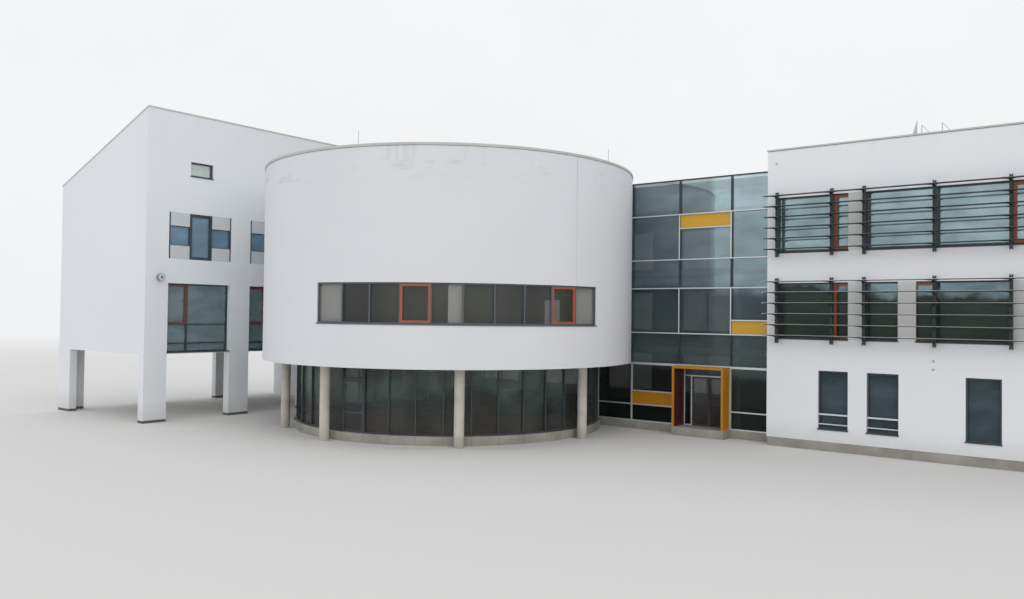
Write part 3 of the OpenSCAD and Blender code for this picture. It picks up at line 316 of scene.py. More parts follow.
def carried(profile, starts, ends, out, upward=(0.0, 0.0, 1.0)):
    """Carries a closed profile along straight lines. Each corner is a line's end, plus the first
    number of the profile along `out`, plus the second along `upward`; both ends are closed."""
    profile, starts, ends = np.asarray(profile, float), np.atleast_2d(starts), np.atleast_2d(ends)
    out, upward = np.broadcast_to(out, starts.shape), np.broadcast_to(upward, starts.shape)
    ring = profile[None, :, :1] * out[:, None] + profile[None, :, 1:] * upward[:, None]
    places = np.stack([starts[:, None] + ring, ends[:, None] + ring], axis=1).reshape(-1, 3)
    corner = np.arange(len(profile))
    after = (corner + 1) % len(profile)
    sides = np.stack([corner, after, after + len(profile), corner + len(profile)], axis=1)
    first = 2 * len(profile) * np.arange(len(starts))
    faces = (first[:, None, None] + sides).reshape(-1, 4).tolist()
    faces += (first[:, None] + corner).tolist() + (first[:, None] + corner[::-1] + len(profile)).tolist()
    return places, faces


def rounded(profile, level, first, last, count=64):
    """Carries a closed profile round the drum from one angle to another. A corner at angle a is the
    axis plus (cos a, sin a) times the drum's radius and the first number of the profile, at the
    level plus the second number; both ends are closed."""
    profile, a = np.asarray(profile, float), np.linspace(first, last, count)[:, None]
    far = drum_r + profile[:, 0]
    places = rows(drum_axis[0] + far * np.cos(a), drum_axis[1] + far * np.sin(a), level + profile[:, 1])
    size = len(profile)
    step, corner = np.meshgrid(np.arange(count - 1) * size, np.arange(size), indexing="ij")
    after = (corner + 1) % size
    faces = np.stack([step + corner, step + size + corner, step + size + after, step + after], axis=-1)
    ends = np.stack([np.arange(size), np.arange(size) + (count - 1) * size])
    return places, faces.reshape(-1, 4).tolist() + ends.tolist()


def joined(*shells):
    """Puts several sets of places and faces together as one."""
    places, faces, count = [], [], 0
    for shell_places, shell_faces in shells:
        places.append(shell_places)
        faces += [[corner + count for corner in face] for face in shell_faces]
        count += len(shell_places)
    return np.concatenate(places), faces


def fit(name, shell, material):
    """Makes a piece of the building from places and faces, and gives it its finish."""
    piece = new_mesh(name, *shell)
    piece.data.materials.append(material)
    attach(piece, "building")


gap, sheet, drip, nose_out, short_nose, end_gap = 0.0005, 0.003, 0.018, 0.018, 0.011, 0.001
east, west = np.array([1.0, 0.0, 0.0]), np.array([-1.0, 0.0, 0.0])
front, rear = np.array([0.0, -1.0, 0.0]), np.array([0.0, 1.0, 0.0])


def sills(spans, level, out, depth=0.049, nose=nose_out, past=0.012):
    """Sills on a wall face that stands at one level of Y, or of X when it looks east or west. A span
    is (from, to, height) along the face: a flat sheet lies back to the frame, and the nose runs a
    little past the opening at both ends."""
    along = np.abs(out[[1, 0, 2]])
    face = level * np.abs(out) + spans[:, 2:] * [0, 0, 1]
    starts, ends = spans[:, :1] * along + face, spans[:, 1:2] * along + face
    sill_nose = [(gap, -drip), (nose, -drip), (nose, sheet), (gap, sheet)]
    tread = [(gap, gap), (gap, sheet), (-depth, sheet), (-depth, gap)]
    return joined(carried(tread, starts + end_gap * along, ends - end_gap * along, out),
                  carried(sill_nose, starts - past * along, ends + past * along, out))


def spans_at(starts, width, heights):
    """Spans (from, to, height) of one width, for each height at each start."""
    start, height = (grid.ravel() for grid in np.meshgrid(starts, heights, indexing="ij"))
    return np.stack([start, start + width, height], axis=1)


wing_x, wing_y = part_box("wing_front_wall")[0][:2]
wing_l, wing_back, wing_end = 7.740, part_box("wing_back_wall")[1][1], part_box("wing_end_walls")[1][0]
floor_z, sill_up = np.array([0.18, 1.90, 3.62]), 0.265
band_sills = floor_z[1:] + sill_up
low_win_x, low_win_w, low_sill = wing_x + np.array([1.025, 1.930, 3.595, 4.500, 6.165]), 0.562, 0.425
low_spans = spans_at(low_win_x, low_win_w, low_sill)
first_band = [(0.200, 1.583), (1.891, 2.475), (2.783, 4.318), (4.626, 7.540)]
second_band = [(0.200, 1.583), (1.891, 7.540)]
band_spans = np.array([(wing_x + a, wing_x + b, band_sills[0]) for a, b in first_band]
                      + [(wing_x + a, wing_x + b, band_sills[1]) for a, b in second_band])
band_in = 0.200
back_bands = spans_at(wing_x + band_in, wing_l - 2 * band_in, band_sills)
hall_back_low, hall_back_high = np.array(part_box("hall_back_wall"))
hall_win_x, hall_win_w = hall_back_low[0] + 0.420 + 2.400 * np.arange(5), 1.500
hall_back_spans = spans_at(hall_win_x, hall_win_w, floor_z + sill_up)
block_x, gable_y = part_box("left_front_wall")[1][0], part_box("left_front_wall")[0][1]
block_west, bay, pier_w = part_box("left_west_wall")[0][0], 2.205, 0.558
bay_y, opening_l, attic_in = gable_y + pier_w + bay * np.arange(3), bay - pier_w, 0.5245
block_sill, attic_sill = 1.600, 5.780
end_l = 1.8
end_y = (wing_y + wing_back) / 2 - end_l / 2
fit("window_sills", joined(
    sills(np.concatenate([band_spans, low_spans]), wing_y, front),
    sills(np.concatenate([back_bands, low_spans]), wing_back, rear, nose=short_nose),
    sills(hall_back_spans, hall_back_high[1], rear, nose=short_nose),
    sills(spans_at(bay_y, opening_l, block_sill), block_x, east, depth=0.109),
    sills(spans_at(bay_y[0] + attic_in, opening_l - 2 * attic_in, attic_sill), block_x, east),
    sills(spans_at(bay_y, opening_l, band_sills), block_west, west, nose=short_nose),
    sills(spans_at(end_y, end_l, floor_z + sill_up), wing_end, east, nose=short_nose)),
    anthracite)

window_z, window_from, window_to = 2.370, math.radians(-85.62), math.radians(-3.88)
drum_nose_out, drum_tread, nose_past_angle, tread_in_angle = 0.014, 0.0255, 0.003, 0.0003
fit("drum_window_sill", joined(
    rounded([(gap, -drip), (drum_nose_out, -drip), (drum_nose_out, sheet), (gap, sheet)], window_z,
            window_from - nose_past_angle, window_to + nose_past_angle),
    rounded([(gap, gap), (gap, sheet), (-drum_tread, sheet), (-drum_tread, gap)], window_z,
            window_from + tread_in_angle, window_to - tread_in_angle)), drum_coat)


# Ground floor window rails. The first two windows beside the entrance have a fixed lower light: its
# transom and a guard rail are covered with natural anodised strips, clipped on from outside.
def anodised(name, colour_code, grain_code, roughness):
    """Anodised aluminium: satin metal with a faint drawn grain along the profile."""
    made, tree, shader, place = new_material(name)
    drawn = add_node(tree, "Mapping", {"Vector": place, "Scale": (0.1, 1.0, 4.0)})
    grain = add_node(tree, "TexNoise", {"Vector": drawn, "Scale": 30.0, "Detail": 3.0, "Roughness": 0.6})
    add_node(tree, "Mix", {"Factor": grain, "A": linear(colour_code), "B": linear(grain_code)},
             to=shader.inputs["Base Color"], data_type="RGBA")
    shader.inputs["Metallic"].default_value = 0.45
    shader.inputs["Roughness"].default_value = roughness
    return made


natural_aluminium = anodised("natural_anodised_aluminium", "#E9ECEC", "#DADEDF", 0.42)
dress(natural_aluminium, "hall_caps", "hall_ground_frame", "entrance_screen")
rail_in, rail_t = 0.0495, 0.0055
rails = []
for z, half in ((0.707, 0.015), (0.519, 0.010)):
    strip = [(-rail_in, -half), (rail_t - rail_in, -half), (rail_t - rail_in, half), (-rail_in, half)]
    rail_from = rows(low_win_x[:2] + end_gap, wing_y, z)
    rails.append(carried(strip, rail_from, rail_from + (low_win_w - 2 * end_gap) * east, front))
fit("window_rails", joined(*rails), natural_aluminium)


# Louvres. Twelve extruded blades of natural anodised aluminium, bright on top, with painted shade on the
# nose and on faces that look down; the upper row is painted darker as shade, for it is seen from below.
# Each is bolted through its clamp to the double flats of the posts and closed by end sleeves, and a dark
# strip fills the slot between the flats.
blade_aluminium, tree, shader, place = new_material("blade_anodised_aluminium")
facing = add_node(tree, "SeparateXYZ", {"Vector": add_node(tree, "NewGeometry").outputs["Normal"]}).outputs
drawn = add_node(tree, "Mapping", {"Vector": place, "Scale": (0.08, 1.0, 4.0)})
grain = add_node(tree, "TexNoise", {"Vector": drawn, "Scale": 26.0, "Detail": 3.0})
bright = add_node(tree, "Mix", {"Factor": grain, "A": linear("#E2E2DA"), "B": linear("#CBCCC5")},
                  data_type="RGBA")
high = add_node(tree, "SeparateXYZ", {"Vector": place}).outputs["Z"]
# Painted shade: the upper row, above 3.5 m, takes a darker colour.
upper_row_shade = add_node(tree, "MapRange", {"Value": high, "From Min": 3.5, "From Max": 3.6})
colour_with_upper_shade = add_node(tree, "Mix", {"Factor": upper_row_shade, "A": bright, "B": linear("#8B9592")}, data_type="RGBA")
# Painted shade: faces that look down and the front of each nose are darkened.
underside_shade = add_node(tree, "MapRange", {"Value": facing["Z"], "From Min": -0.2, "From Max": 0.3,
                                    "To Min": 1.0, "To Max": 0.0})
nose = add_node(tree, "MapRange", {"Value": facing["Y"], "From Min": -0.50, "From Max": -0.35,
                                   "To Min": 1.0, "To Max": 0.0})
blade_painted_shade = add_node(tree, "Math", {0: underside_shade, 1: nose}, operation="MAXIMUM")
add_node(tree, "Mix", {"Factor": blade_painted_shade, "A": colour_with_upper_shade, "B": linear("#1F2627")},
         to=shader.inputs["Base Color"], data_type="RGBA")
shader.inputs["Metallic"].default_value = 0.2
shader.inputs["Roughness"].default_value = 0.4
dress(blade_aluminium, "louvre_blades")

# The section of a sleeve is the blade's own, an arc over a flat underside, grown by 1.5 mm a side.
chord, rise, sleeve, sleeve_l, blade_over = 0.130, 0.022, 0.0015, 0.014, 0.025
blade_back, first_blade, blade_step = wing_y - 0.120, 0.052, 0.214
blade_z = (band_sills[:, None] + first_blade + blade_step * np.arange(6)).ravel()
arc_r = (chord ** 2 / 4 + rise ** 2) / (2 * rise)
arc_half = math.asin(chord / 2 / arc_r)
arc = np.linspace(-arc_half, arc_half, 15)
blade_section = np.stack([chord / 2 - arc_r * np.sin(arc), rise - arc_r + arc_r * np.cos(arc)], axis=1)
middle = np.array([chord / 2, rise / 3])
sleeve_section = middle + (blade_section - middle) * (1 + 2 * sleeve / np.array([chord, rise]))
sleeve_x = np.array([wing_x - blade_over + gap, wing_x + wing_l + blade_over - sleeve_l - gap])
sleeve_at = rows(sleeve_x, blade_back, blade_z[:, None])
fit("blade_end_sleeves", carried(sleeve_section, sleeve_at, sleeve_at + sleeve_l * east, front),
    natural_aluminium)

post_x = wing_x + np.array([0.230, 1.302, 1.900, 3.110, 4.308, 5.503, 6.698, 7.510])
post_half, bolt_r, bolt_h, bolt_out, bolt_down = 0.027, 0.007, 0.005, 0.028, 0.014
hexagon = [(bolt_r * math.cos(a), bolt_r * math.sin(a)) for a in np.radians(np.arange(0, 360, 60))]
bolt_at = rows(post_x[:, None], blade_back - bolt_out, blade_z - bolt_down)
fit("clamp_bolts", joined(
    carried(hexagon, bolt_at + post_half * east, bolt_at + (post_half + bolt_h) * east, rear),
    carried(hexagon, bolt_at - (post_half + bolt_h) * east, bolt_at - post_half * east, rear)),
    natural_aluminium)
slot_half, infill_t, infill_in, infill_past, band_h = 0.0108, 0.002, 0.006, 0.030, 1.105
infill = [(-slot_half, 0.0), (slot_half, 0.0), (slot_half, infill_t), (-slot_half, infill_t)]
infill_at = rows(post_x[:, None], blade_back + infill_in, band_sills)
fit("post_infills", carried(infill, infill_at - [0, 0, infill_past], infill_at + [0, 0, band_h + infill_past],
                            east, rear), post_coat)


# Cappings. Folded aluminium sheet on all wall heads, weathered to a warm light grey, and turned
# down in a flange round the drum. Lengths meet under narrow joint covers, and a grey strip below
# the drip edge stands for the shadow line there: painted shade.
def two_tone(name, first_code, second_code, scale, detail, roughness, metallic=0.0):
    """A finish of two close tones mixed by noise: soft clouds at a low scale, fine grain at a high."""
    made, tree, shader, place = new_material(name)
    drift = add_node(tree, "TexNoise", {"Vector": place, "Scale": scale, "Detail": detail})
    add_node(tree, "Mix", {"Factor": drift, "A": linear(first_code), "B": linear(second_code)},
             to=shader.inputs["Base Color"], data_type="RGBA")
    shader.inputs["Roughness"].default_value = roughness
    shader.inputs["Metallic"].default_value = metallic
    return made


def looped(outline, profile):
    """Carries a closed profile round a closed outline in X and Y, given anticlockwise. A corner goes
    out by the first number of the profile along the mitre, which is the sum of the two normals
    there over one plus their product, and stands at the height of the second number."""
    outline, profile = np.asarray(outline, float), np.asarray(profile, float)
    along = np.roll(outline, -1, axis=0) - outline
    after = np.stack([along[:, 1], -along[:, 0]], axis=1) / np.linalg.norm(along, axis=1, keepdims=True)
    before = np.roll(after, 1, axis=0)
    mitre = (before + after) / (1 + (before * after).sum(axis=1, keepdims=True))
    flat = outline[:, None] + profile[None, :, :1] * mitre[:, None]
    heights = np.broadcast_to(profile[None, :, 1:], (*flat.shape[:2], 1))
    here, corner = np.meshgrid(np.arange(len(outline)), np.arange(len(profile)), indexing="ij")
    there, turned_corner = (here + 1) % len(outline), (corner + 1) % len(profile)
    faces = np.stack([here * len(profile) + corner, there * len(profile) + corner,
                      there * len(profile) + turned_corner, here * len(profile) + turned_corner], axis=-1)
    return np.concatenate([flat, heights], axis=2).reshape(-1, 3), faces.reshape(-1, 4).tolist()


capping = two_tone("weathered_aluminium_sheet", "#D3D1CC", "#BDBBB6", scale=1.6, detail=5.0,
                   roughness=0.5, metallic=0.25)
dress(capping, "copings")

# The rods on the roofs are dip galvanised steel, pale and dull.
dress(anodised("galvanised_steel", "#CDD0D1", "#BCC0C1", 0.5), "roof_rods")

wall_t, cap_t, cap_out, cover_half, cover_t, inner_foot = 0.180, 0.030, 0.012, 0.022, 0.0015, 0.002


def joint_cover(foot):
    """Section of a joint cover: a thin sheet bent over the capping and down to its foot in front."""
    out, top, back = cap_out + cover_t, cap_t + cover_t, -wall_t - cover_t
    return [(out, -foot), (out, top), (back, top), (back, -inner_foot), (-wall_t, -inner_foot),
            (-wall_t, cap_t), (cap_out, cap_t), (cap_out, -foot)]


first_cover, cover_step = 1.2, 1.5
wing_covers = rows(wing_x + np.arange(first_cover, wing_l, cover_step), wing_y, wing_head)
turns = np.radians(np.arange(7.5, 367.5, 15.0))
radial, across = rows(np.cos(turns), np.sin(turns), 0.0), rows(-np.sin(turns), np.cos(turns), 0.0)
drum_covers = [drum_axis[0], drum_axis[1], drum_head] + drum_r * radial
half_east, half_across = cover_half * east, cover_half * across
fit("capping_joint_covers", joined(
    carried(joint_cover(foot=0.008), wing_covers - half_east, wing_covers + half_east, front),
    carried(joint_cover(foot=0.022), drum_covers - half_across, drum_covers + half_across, radial)),
    capping)

steps = np.radians(np.arange(0.0, 360.0, 3.0))
drum_circle = drum_axis[:2] + drum_r * np.stack([np.cos(steps), np.sin(steps)], axis=1)
flange_in, flange_out, flange_h = 0.0102, 0.0117, 0.020
flange_top, flange_foot = drum_head - 0.0004, drum_head - flange_h
fit("capping_flange", looped(drum_circle, [(flange_in, flange_foot), (flange_out, flange_foot),
                                           (flange_out, flange_top), (flange_in, flange_top)]),
    capping)

shadow_strip_h, shadow_strip_t, shadow_strip_in, flange_lap, drum_shadow_strip_out = 0.010, 0.004, 0.0003, 0.003, 0.002
shadow_strip = np.array([(shadow_strip_in, -shadow_strip_h), (shadow_strip_t, -shadow_strip_h), (shadow_strip_t, -gap), (shadow_strip_in, -gap)])
wing_head_from = np.array([wing_x, wing_y, wing_head])
# Painted shade: a grey strip under the drip edge of the wing and the drum stands for the shadow line below
# it.
shadow_line_coat = powder_coat("painted_shadow_line", "#7F7D78", "#8C8A85", 0.8)
fit("capping_shadow_line", joined(
    carried(shadow_strip, wing_head_from, wing_head_from + wing_l * east, front),
    looped(drum_circle, shadow_strip + [drum_shadow_strip_out, flange_foot + flange_lap])), shadow_line_coat)


# Wall outlets. Round cowls moulded in grey plastic, matt and a little chalked: one high on the wall
# and two lower down, each over the end of a short pipe and screwed to the wall.
def turned(outline, centres, axis, side, count=24):
    """Turns an outline of (radius, height) pairs about an axis: a point at angle t is the centre,
    plus radius times (cos t along `side` and sin t across it), plus height along the axis."""
    outline, centres = np.asarray(outline, float), np.atleast_2d(centres)
    t = 2 * np.pi * np.arange(count) / count
    wheel = np.cos(t)[:, None] * side + np.sin(t)[:, None] * np.cross(axis, side)
    one = outline[:, None, :1] * wheel[None] + outline[:, None, 1:] * axis
    places = (centres[:, None, None] + one[None]).reshape(-1, 3)
    ring, spoke = np.meshgrid(np.arange(len(outline) - 1), np.arange(count), indexing="ij")
    low, high = ring * count + spoke, (ring + 1) * count + spoke
    low_next, high_next = ring * count + (spoke + 1) % count, (ring + 1) * count + (spoke + 1) % count
    quads = np.stack([low, low_next, high_next, high], axis=-1).reshape(-1, 4)
    first = len(outline) * count * np.arange(len(centres))
    faces = (first[:, None, None] + quads).reshape(-1, 4).tolist()
    ends = np.stack([np.arange(count), np.arange(count) + (len(outline) - 1) * count])
    return places, faces + (first[:, None, None] + ends).reshape(-1, count).tolist()


grey_plastic = powder_coat("pale_grey_plastic", "#BFC2C3", "#CDCFCF", 0.6)
outlet_at = rows(wing_x + np.array([0.179, 3.080, 3.075]), wing_y, np.array([5.682, 1.820, 1.670]))
cowl = [(0.025, 0.0005), (0.025, 0.004), (0.020, 0.006), (0.019, 0.016), (0.015, 0.020), (0.006, 0.022)]
fit("wall_outlets", turned(cowl, outlet_at, front, east), grey_plastic)


# Wall lamp. A round spotlight on an arm: a coated housing with a bright rim round a frosted lens,
# and a small cap in its middle.
lamp_low, lamp_high = np.array(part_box("wall_lamp"))
lamp_r = (lamp_high[2] - lamp_low[2]) / 2
lamp_at = np.array([lamp_high[0], lamp_low[1] + lamp_r, lamp_low[2] + lamp_r])
dress(powder_coat("lamp_powder_coat", "#5F6B76", "#8A9298", 0.4), "wall_lamp")
rim_in, rim_out, rim_h, cap_r = 0.060, lamp_r - 0.001, 0.010, 0.024
rim = [(rim_out, gap), (rim_out, 0.008), (rim_out - 0.003, rim_h), (rim_in + 0.002, rim_h), (rim_in, 0.007),
       (rim_in, gap), (rim_out, gap)]
fit("lamp_rim", turned(rim, lamp_at, east, rear, 48), grey_plastic)
frosted = two_tone("frosted_lens_glass", "#DDE2E4", "#C8CED1", scale=120.0, detail=2.0, roughness=0.25)
lens = [(rim_in - gap, gap), (rim_in - gap, 0.004), (0.045, 0.009), (0.025, 0.012)]
fit("lamp_lens", turned(lens, lamp_at, east, rear, 48), frosted)
cap = [(cap_r, 0.0122), (cap_r, 0.017), (cap_r - 0.006, 0.020)]
fit("lamp_cap", turned(cap, lamp_at, east, rear), anthracite)


# Pier skirtings. A strip of dark coated sheet keeps splashes off the foot of each pier: three front
# piers, two rear ones and the angled pier at the far corner.
skirt_h, skirt_t, pier_d, gable_pier_w = 0.062, 0.002, 0.215, 0.578
skirt = [(gap, 0.001), (skirt_t, 0.001), (skirt_t, skirt_h), (gap, skirt_h)]


def pier_foot(x, y, depth):
    """Corners of a pier's foot, anticlockwise."""
    return [(x, y), (x + depth, y), (x + depth, y + pier_w), (x, y + pier_w)]


feet = [pier_foot(block_x - pier_d, gable_y + bay * i, pier_d) for i in range(3)]
feet += [pier_foot(block_west, gable_y + bay * i, wall_t) for i in (1, 2)]
corner_x, corner_y = block_west + gable_pier_w, gable_y + pier_w
inner_x, inner_y = block_west + wall_t, gable_y + wall_t
feet.append([(block_west, gable_y), (corner_x, gable_y), (corner_x, inner_y), (inner_x, inner_y),
             (inner_x, corner_y), (block_west, corner_y)])
skirting_coat = powder_coat("skirting_coat", "#5C5E5A", "#75746E", 0.6)
fit("pier_skirtings", joined(*[looped(foot, skirt) for foot in feet]), skirting_coat)


# Concrete. Columns poured in smooth round forms and plinths poured against boards: warm grey, with
# a darker, damp foot and pores, which are 2 to 5 mm wide and are drawn coarser so that they show.
def poured_concrete(name, light, dark):
    """Fair-faced concrete: cloudy grey with pores and a damp foot."""
    made, tree, shader, place = new_material(name)
    z = add_node(tree, "SeparateXYZ", {"Vector": place}).outputs["Z"]
    clouds = add_node(tree, "TexNoise", {"Vector": place, "Scale": 2.6, "Detail": 6.0})
    cloudy = add_node(tree, "MapRange", {"Value": clouds, "From Min": 0.35, "From Max": 0.65})
    base = add_node(tree, "Mix", {"Factor": cloudy, "A": linear(light), "B": linear(dark)}, data_type="RGBA")
    pores = add_node(tree, "TexVoronoi", {"Vector": place, "Scale": 42.0}, feature="F1")
    pits = add_node(tree, "MapRange", {"Value": pores.outputs["Distance"], "From Min": 0.05,
                                       "From Max": 0.16, "To Min": 0.5, "To Max": 0.0})
    pitted = add_node(tree, "Mix", {"Factor": pits, "A": base, "B": linear("#75716B")}, data_type="RGBA")
    foot = add_node(tree, "MapRange", {"Value": z, "From Min": 0.02, "From Max": 0.3,
                                       "To Min": 0.35, "To Max": 0.0})
    add_node(tree, "Mix", {"Factor": foot, "A": pitted, "B": linear("#7D7870")},
             to=shader.inputs["Base Color"], data_type="RGBA")
    rough = add_node(tree, "TexNoise", {"Vector": place, "Scale": 60.0, "Detail": 4.0, "Roughness": 0.65})
    add_node(tree, "Bump", {"Height": rough, "Strength": 0.25, "Distance": 0.003},
             to=shader.inputs["Normal"])
    shader.inputs["Roughness"].default_value = 0.85
    return made


dress(poured_concrete("fair_faced_concrete", "#D2CCC3", "#BFB9AF"), "drum_columns")
plinth_concrete = poured_concrete("plinth_concrete", "#B4B0A8", "#9B978F")
dress(plinth_concrete, "wing_plinth", "hall_plinth", "drum_plinth")

# The plinth of the drum was cast in lengths: a dark joint 6 mm wide stands below every bar.
first_bar, half_step, joint_half, plinth_reach = math.radians(-85.8), math.radians(4.5), 0.0009, 3.75
tree, shader = nodes_of(plinth_concrete)
sound_concrete = shader.inputs["Base Color"].links[0].from_socket
from_axis, parts, angle = round_drum(tree)
past_bar = add_node(tree, "Math", {0: angle, 1: first_bar}, operation="SUBTRACT")
past_bar = add_node(tree, "Math", {0: past_bar, 1: half_step}, operation="PINGPONG")
joint = add_node(tree, "Math", {0: past_bar, 1: joint_half}, operation="LESS_THAN")
level_part = add_node(tree, "VectorMath", {0: from_axis, 1: (1.0, 1.0, 0.0)}, operation="MULTIPLY")
distance = add_node(tree, "VectorMath", {0: level_part}, operation="LENGTH").outputs["Value"]
inside = add_node(tree, "Math", {0: distance, 1: plinth_reach}, operation="LESS_THAN")
joint = add_node(tree, "Math", {0: joint, 1: inside}, operation="MULTIPLY")
add_node(tree, "Mix", {"Factor": joint, "A": sound_concrete, "B": linear("#6A665F")},
         to=shader.inputs["Base Color"], data_type="RGBA")

# Slabs and the hall column are rubbed smooth and painted, which leaves them matt and a little cloudy.
dress(two_tone("painted_slab", "#B9B9B5", "#A6A6A1", scale=1.2, detail=4.0, roughness=0.85),
      "wing_floors", "hall_floors", "drum_floor", "left_floors")
dress(two_tone("painted_column", "#F0F2EE", "#E4E7E2", scale=3.0, detail=4.0, roughness=0.7), "hall_column")


# Flat roofs. Bitumen sheet laid over the slab and the insulation, and held down by a loose layer of
# rounded gravel, 16 to 32 mm on the building.
gravel, tree, shader, place = new_material("roof_gravel")
stones = add_node(tree, "TexVoronoi", {"Vector": place, "Scale": 60.0}, feature="F1").outputs
pebbles = add_node(tree, "Mix", {"Factor": stones["Color"], "A": linear("#8E8B86"), "B": linear("#B7B3AC")},
                   data_type="RGBA")
drifts = add_node(tree, "TexNoise", {"Vector": place, "Scale": 0.9, "Detail": 4.0})
tone = add_node(tree, "MapRange", {"Value": drifts, "From Min": 0.3, "From Max": 0.7, "To Max": 0.4})
add_node(tree, "Mix", {"Factor": tone, "A": pebbles, "B": linear("#7F7C77")},
         to=shader.inputs["Base Color"], data_type="RGBA")
add_node(tree, "Bump", {"Height": stones["Distance"], "Strength": 0.6, "Distance": 0.008},
         to=shader.inputs["Normal"])
shader.inputs["Roughness"].default_value = 0.95
dress(gravel, "wing_roof", "hall_roof", "drum_roof")


# Sloping roof. Folded zinc sheet in bays 600 mm wide on the building, joined by standing seams that
# run down the slope.
zinc = two_tone("folded_zinc_sheet", "#8F9598", "#7C8286", scale=1.1, detail=4.0, roughness=0.5,
                metallic=0.6)
dress(zinc, "left_roof")
roof_low, roof_high = np.array(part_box("left_roof"))
ridge_z, eaves_z, roof_run, seam_in = 7.255, 5.770, 4.145, 0.02
roof_slope = (ridge_z - eaves_z) / roof_run
slope_up = np.array([-roof_slope, 0.0, 1.0]) / math.hypot(1.0, roof_slope)
first_seam, last_seam, seam_step = 0.25, 0.1, 0.30
seam_y = np.arange(roof_low[1] + first_seam, roof_high[1] - last_seam, seam_step)
seam_head = rows(roof_high[0] - seam_in, seam_y, roof_high[2] - seam_in * roof_slope)
seam_foot_z = roof_high[2] - (roof_high[0] - roof_low[0] - seam_in) * roof_slope
seam_foot = rows(roof_low[0] + seam_in, seam_y, seam_foot_z)
seam = [(-0.003, 0.0), (0.003, 0.0), (0.003, 0.014), (0.007, 0.014), (0.007, 0.018), (-0.003, 0.018)]
fit("roof_seams", carried(seam, seam_foot, seam_head, rear, slope_up), zinc)


# Coloured parts. Sheet panels and the entrance portal are folded aluminium with an ochre coat, the
# portal is lined in burgundy, and the opening lights have orange-brown coated frames. Shade is painted
# into two of them: the ochre is darker near the ground, and the orange darker on the block.
def paint_shade_along(material, axis, whole, none, code):
    """Paints shade over a finish as a darker colour: it is whole at one place along an axis and gone at the
    other.
    """
    tree, shader = nodes_of(material)
    plain = shader.inputs["Base Color"].links[0].from_socket
    place = add_node(tree, "TexCoord").outputs["Object"]
    along = add_node(tree, "SeparateXYZ", {"Vector": place}).outputs[axis]
    share = add_node(tree, "MapRange", {"Value": along, "From Min": whole, "From Max": none,
                                        "To Min": 1.0, "To Max": 0.0})
    add_node(tree, "Mix", {"Factor": share, "A": plain, "B": linear(code)},
             to=shader.inputs["Base Color"], data_type="RGBA")


ochre = powder_coat("ochre_coat", "#DCA72E", "#CBA047", 0.4)
# Painted shade: the ochre is darker below 1.5 m, fading out by 1.7 m.
paint_shade_along(ochre, "Z", 1.5, 1.7, "#BE8212")
dress(ochre, "hall_panels", "portal_frame")
dress(powder_coat("burgundy_coat", "#50171A", "#402224", 0.4), "portal_lining")
orange = powder_coat("orange_brown_coat", "#A9573B", "#96604A", 0.45)
# Painted shade: the orange is darker on the block, west of X -7 m, fading out by -6 m.
paint_shade_along(orange, "X", -7.0, -6.0, "#7B4739")
dress(orange, "orange_casements")

# Pale grey and white panels and the dark brown door leaves are aluminium with the same kind of coat.
pale_grey = powder_coat("pale_grey_panel", "#CDD2D4", "#BFC4C6", 0.5)
dress(pale_grey, "left_panels")
dress(powder_coat("white_panel_coat", "#DDDEDC", "#D0D0CC", 0.5), "wing_panels")
dress(powder_coat("dark_brown_coat", "#463A3D", "#6A5F60", 0.42), "entrance_leaf_left", "entrance_leaf_right")

# The panels beside the upper windows of the block are ribbed sheet, folded every 60 mm.
panels_x, panel_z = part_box("left_panels")[1][0], np.array([3.790, 4.565])
panel_w, panel_h, panel_past = 0.4845, 0.315, 0.040
rib_pitch, rib_count, rib_half, rib_top, rib_t, rib_gap = 0.060, 8, 0.010, 0.005, 0.003, 0.002
panel_y = (bay_y[:, None] + [panel_past, opening_l - panel_past - panel_w]).ravel()
rib_y = (panel_y[:, None] + rib_pitch * (0.5 + np.arange(rib_count))).ravel()
rib_at = rows(panels_x, rib_y[:, None], panel_z)
rib = [(0.0002, -rib_half), (rib_t, -rib_top), (rib_t, rib_top), (0.0002, rib_half)]
fit("panel_ribs", carried(rib, rib_at + [0, 0, rib_gap], rib_at + [0, 0, panel_h - rib_gap], east, rear),
    pale_grey)


# Glass. Insulating float glass with a thin metal oxide coat against the sun, which mirrors like a
# bluish metal. Reflections are also painted into the colour: the upper panes are pale and cold, a
# painted reflection of the sky, and lower down they are dark green, a painted reflection of dark
# surroundings, and partly see-through, with a ragged painted skyline between the two.
highest_colour_stop = 7.0


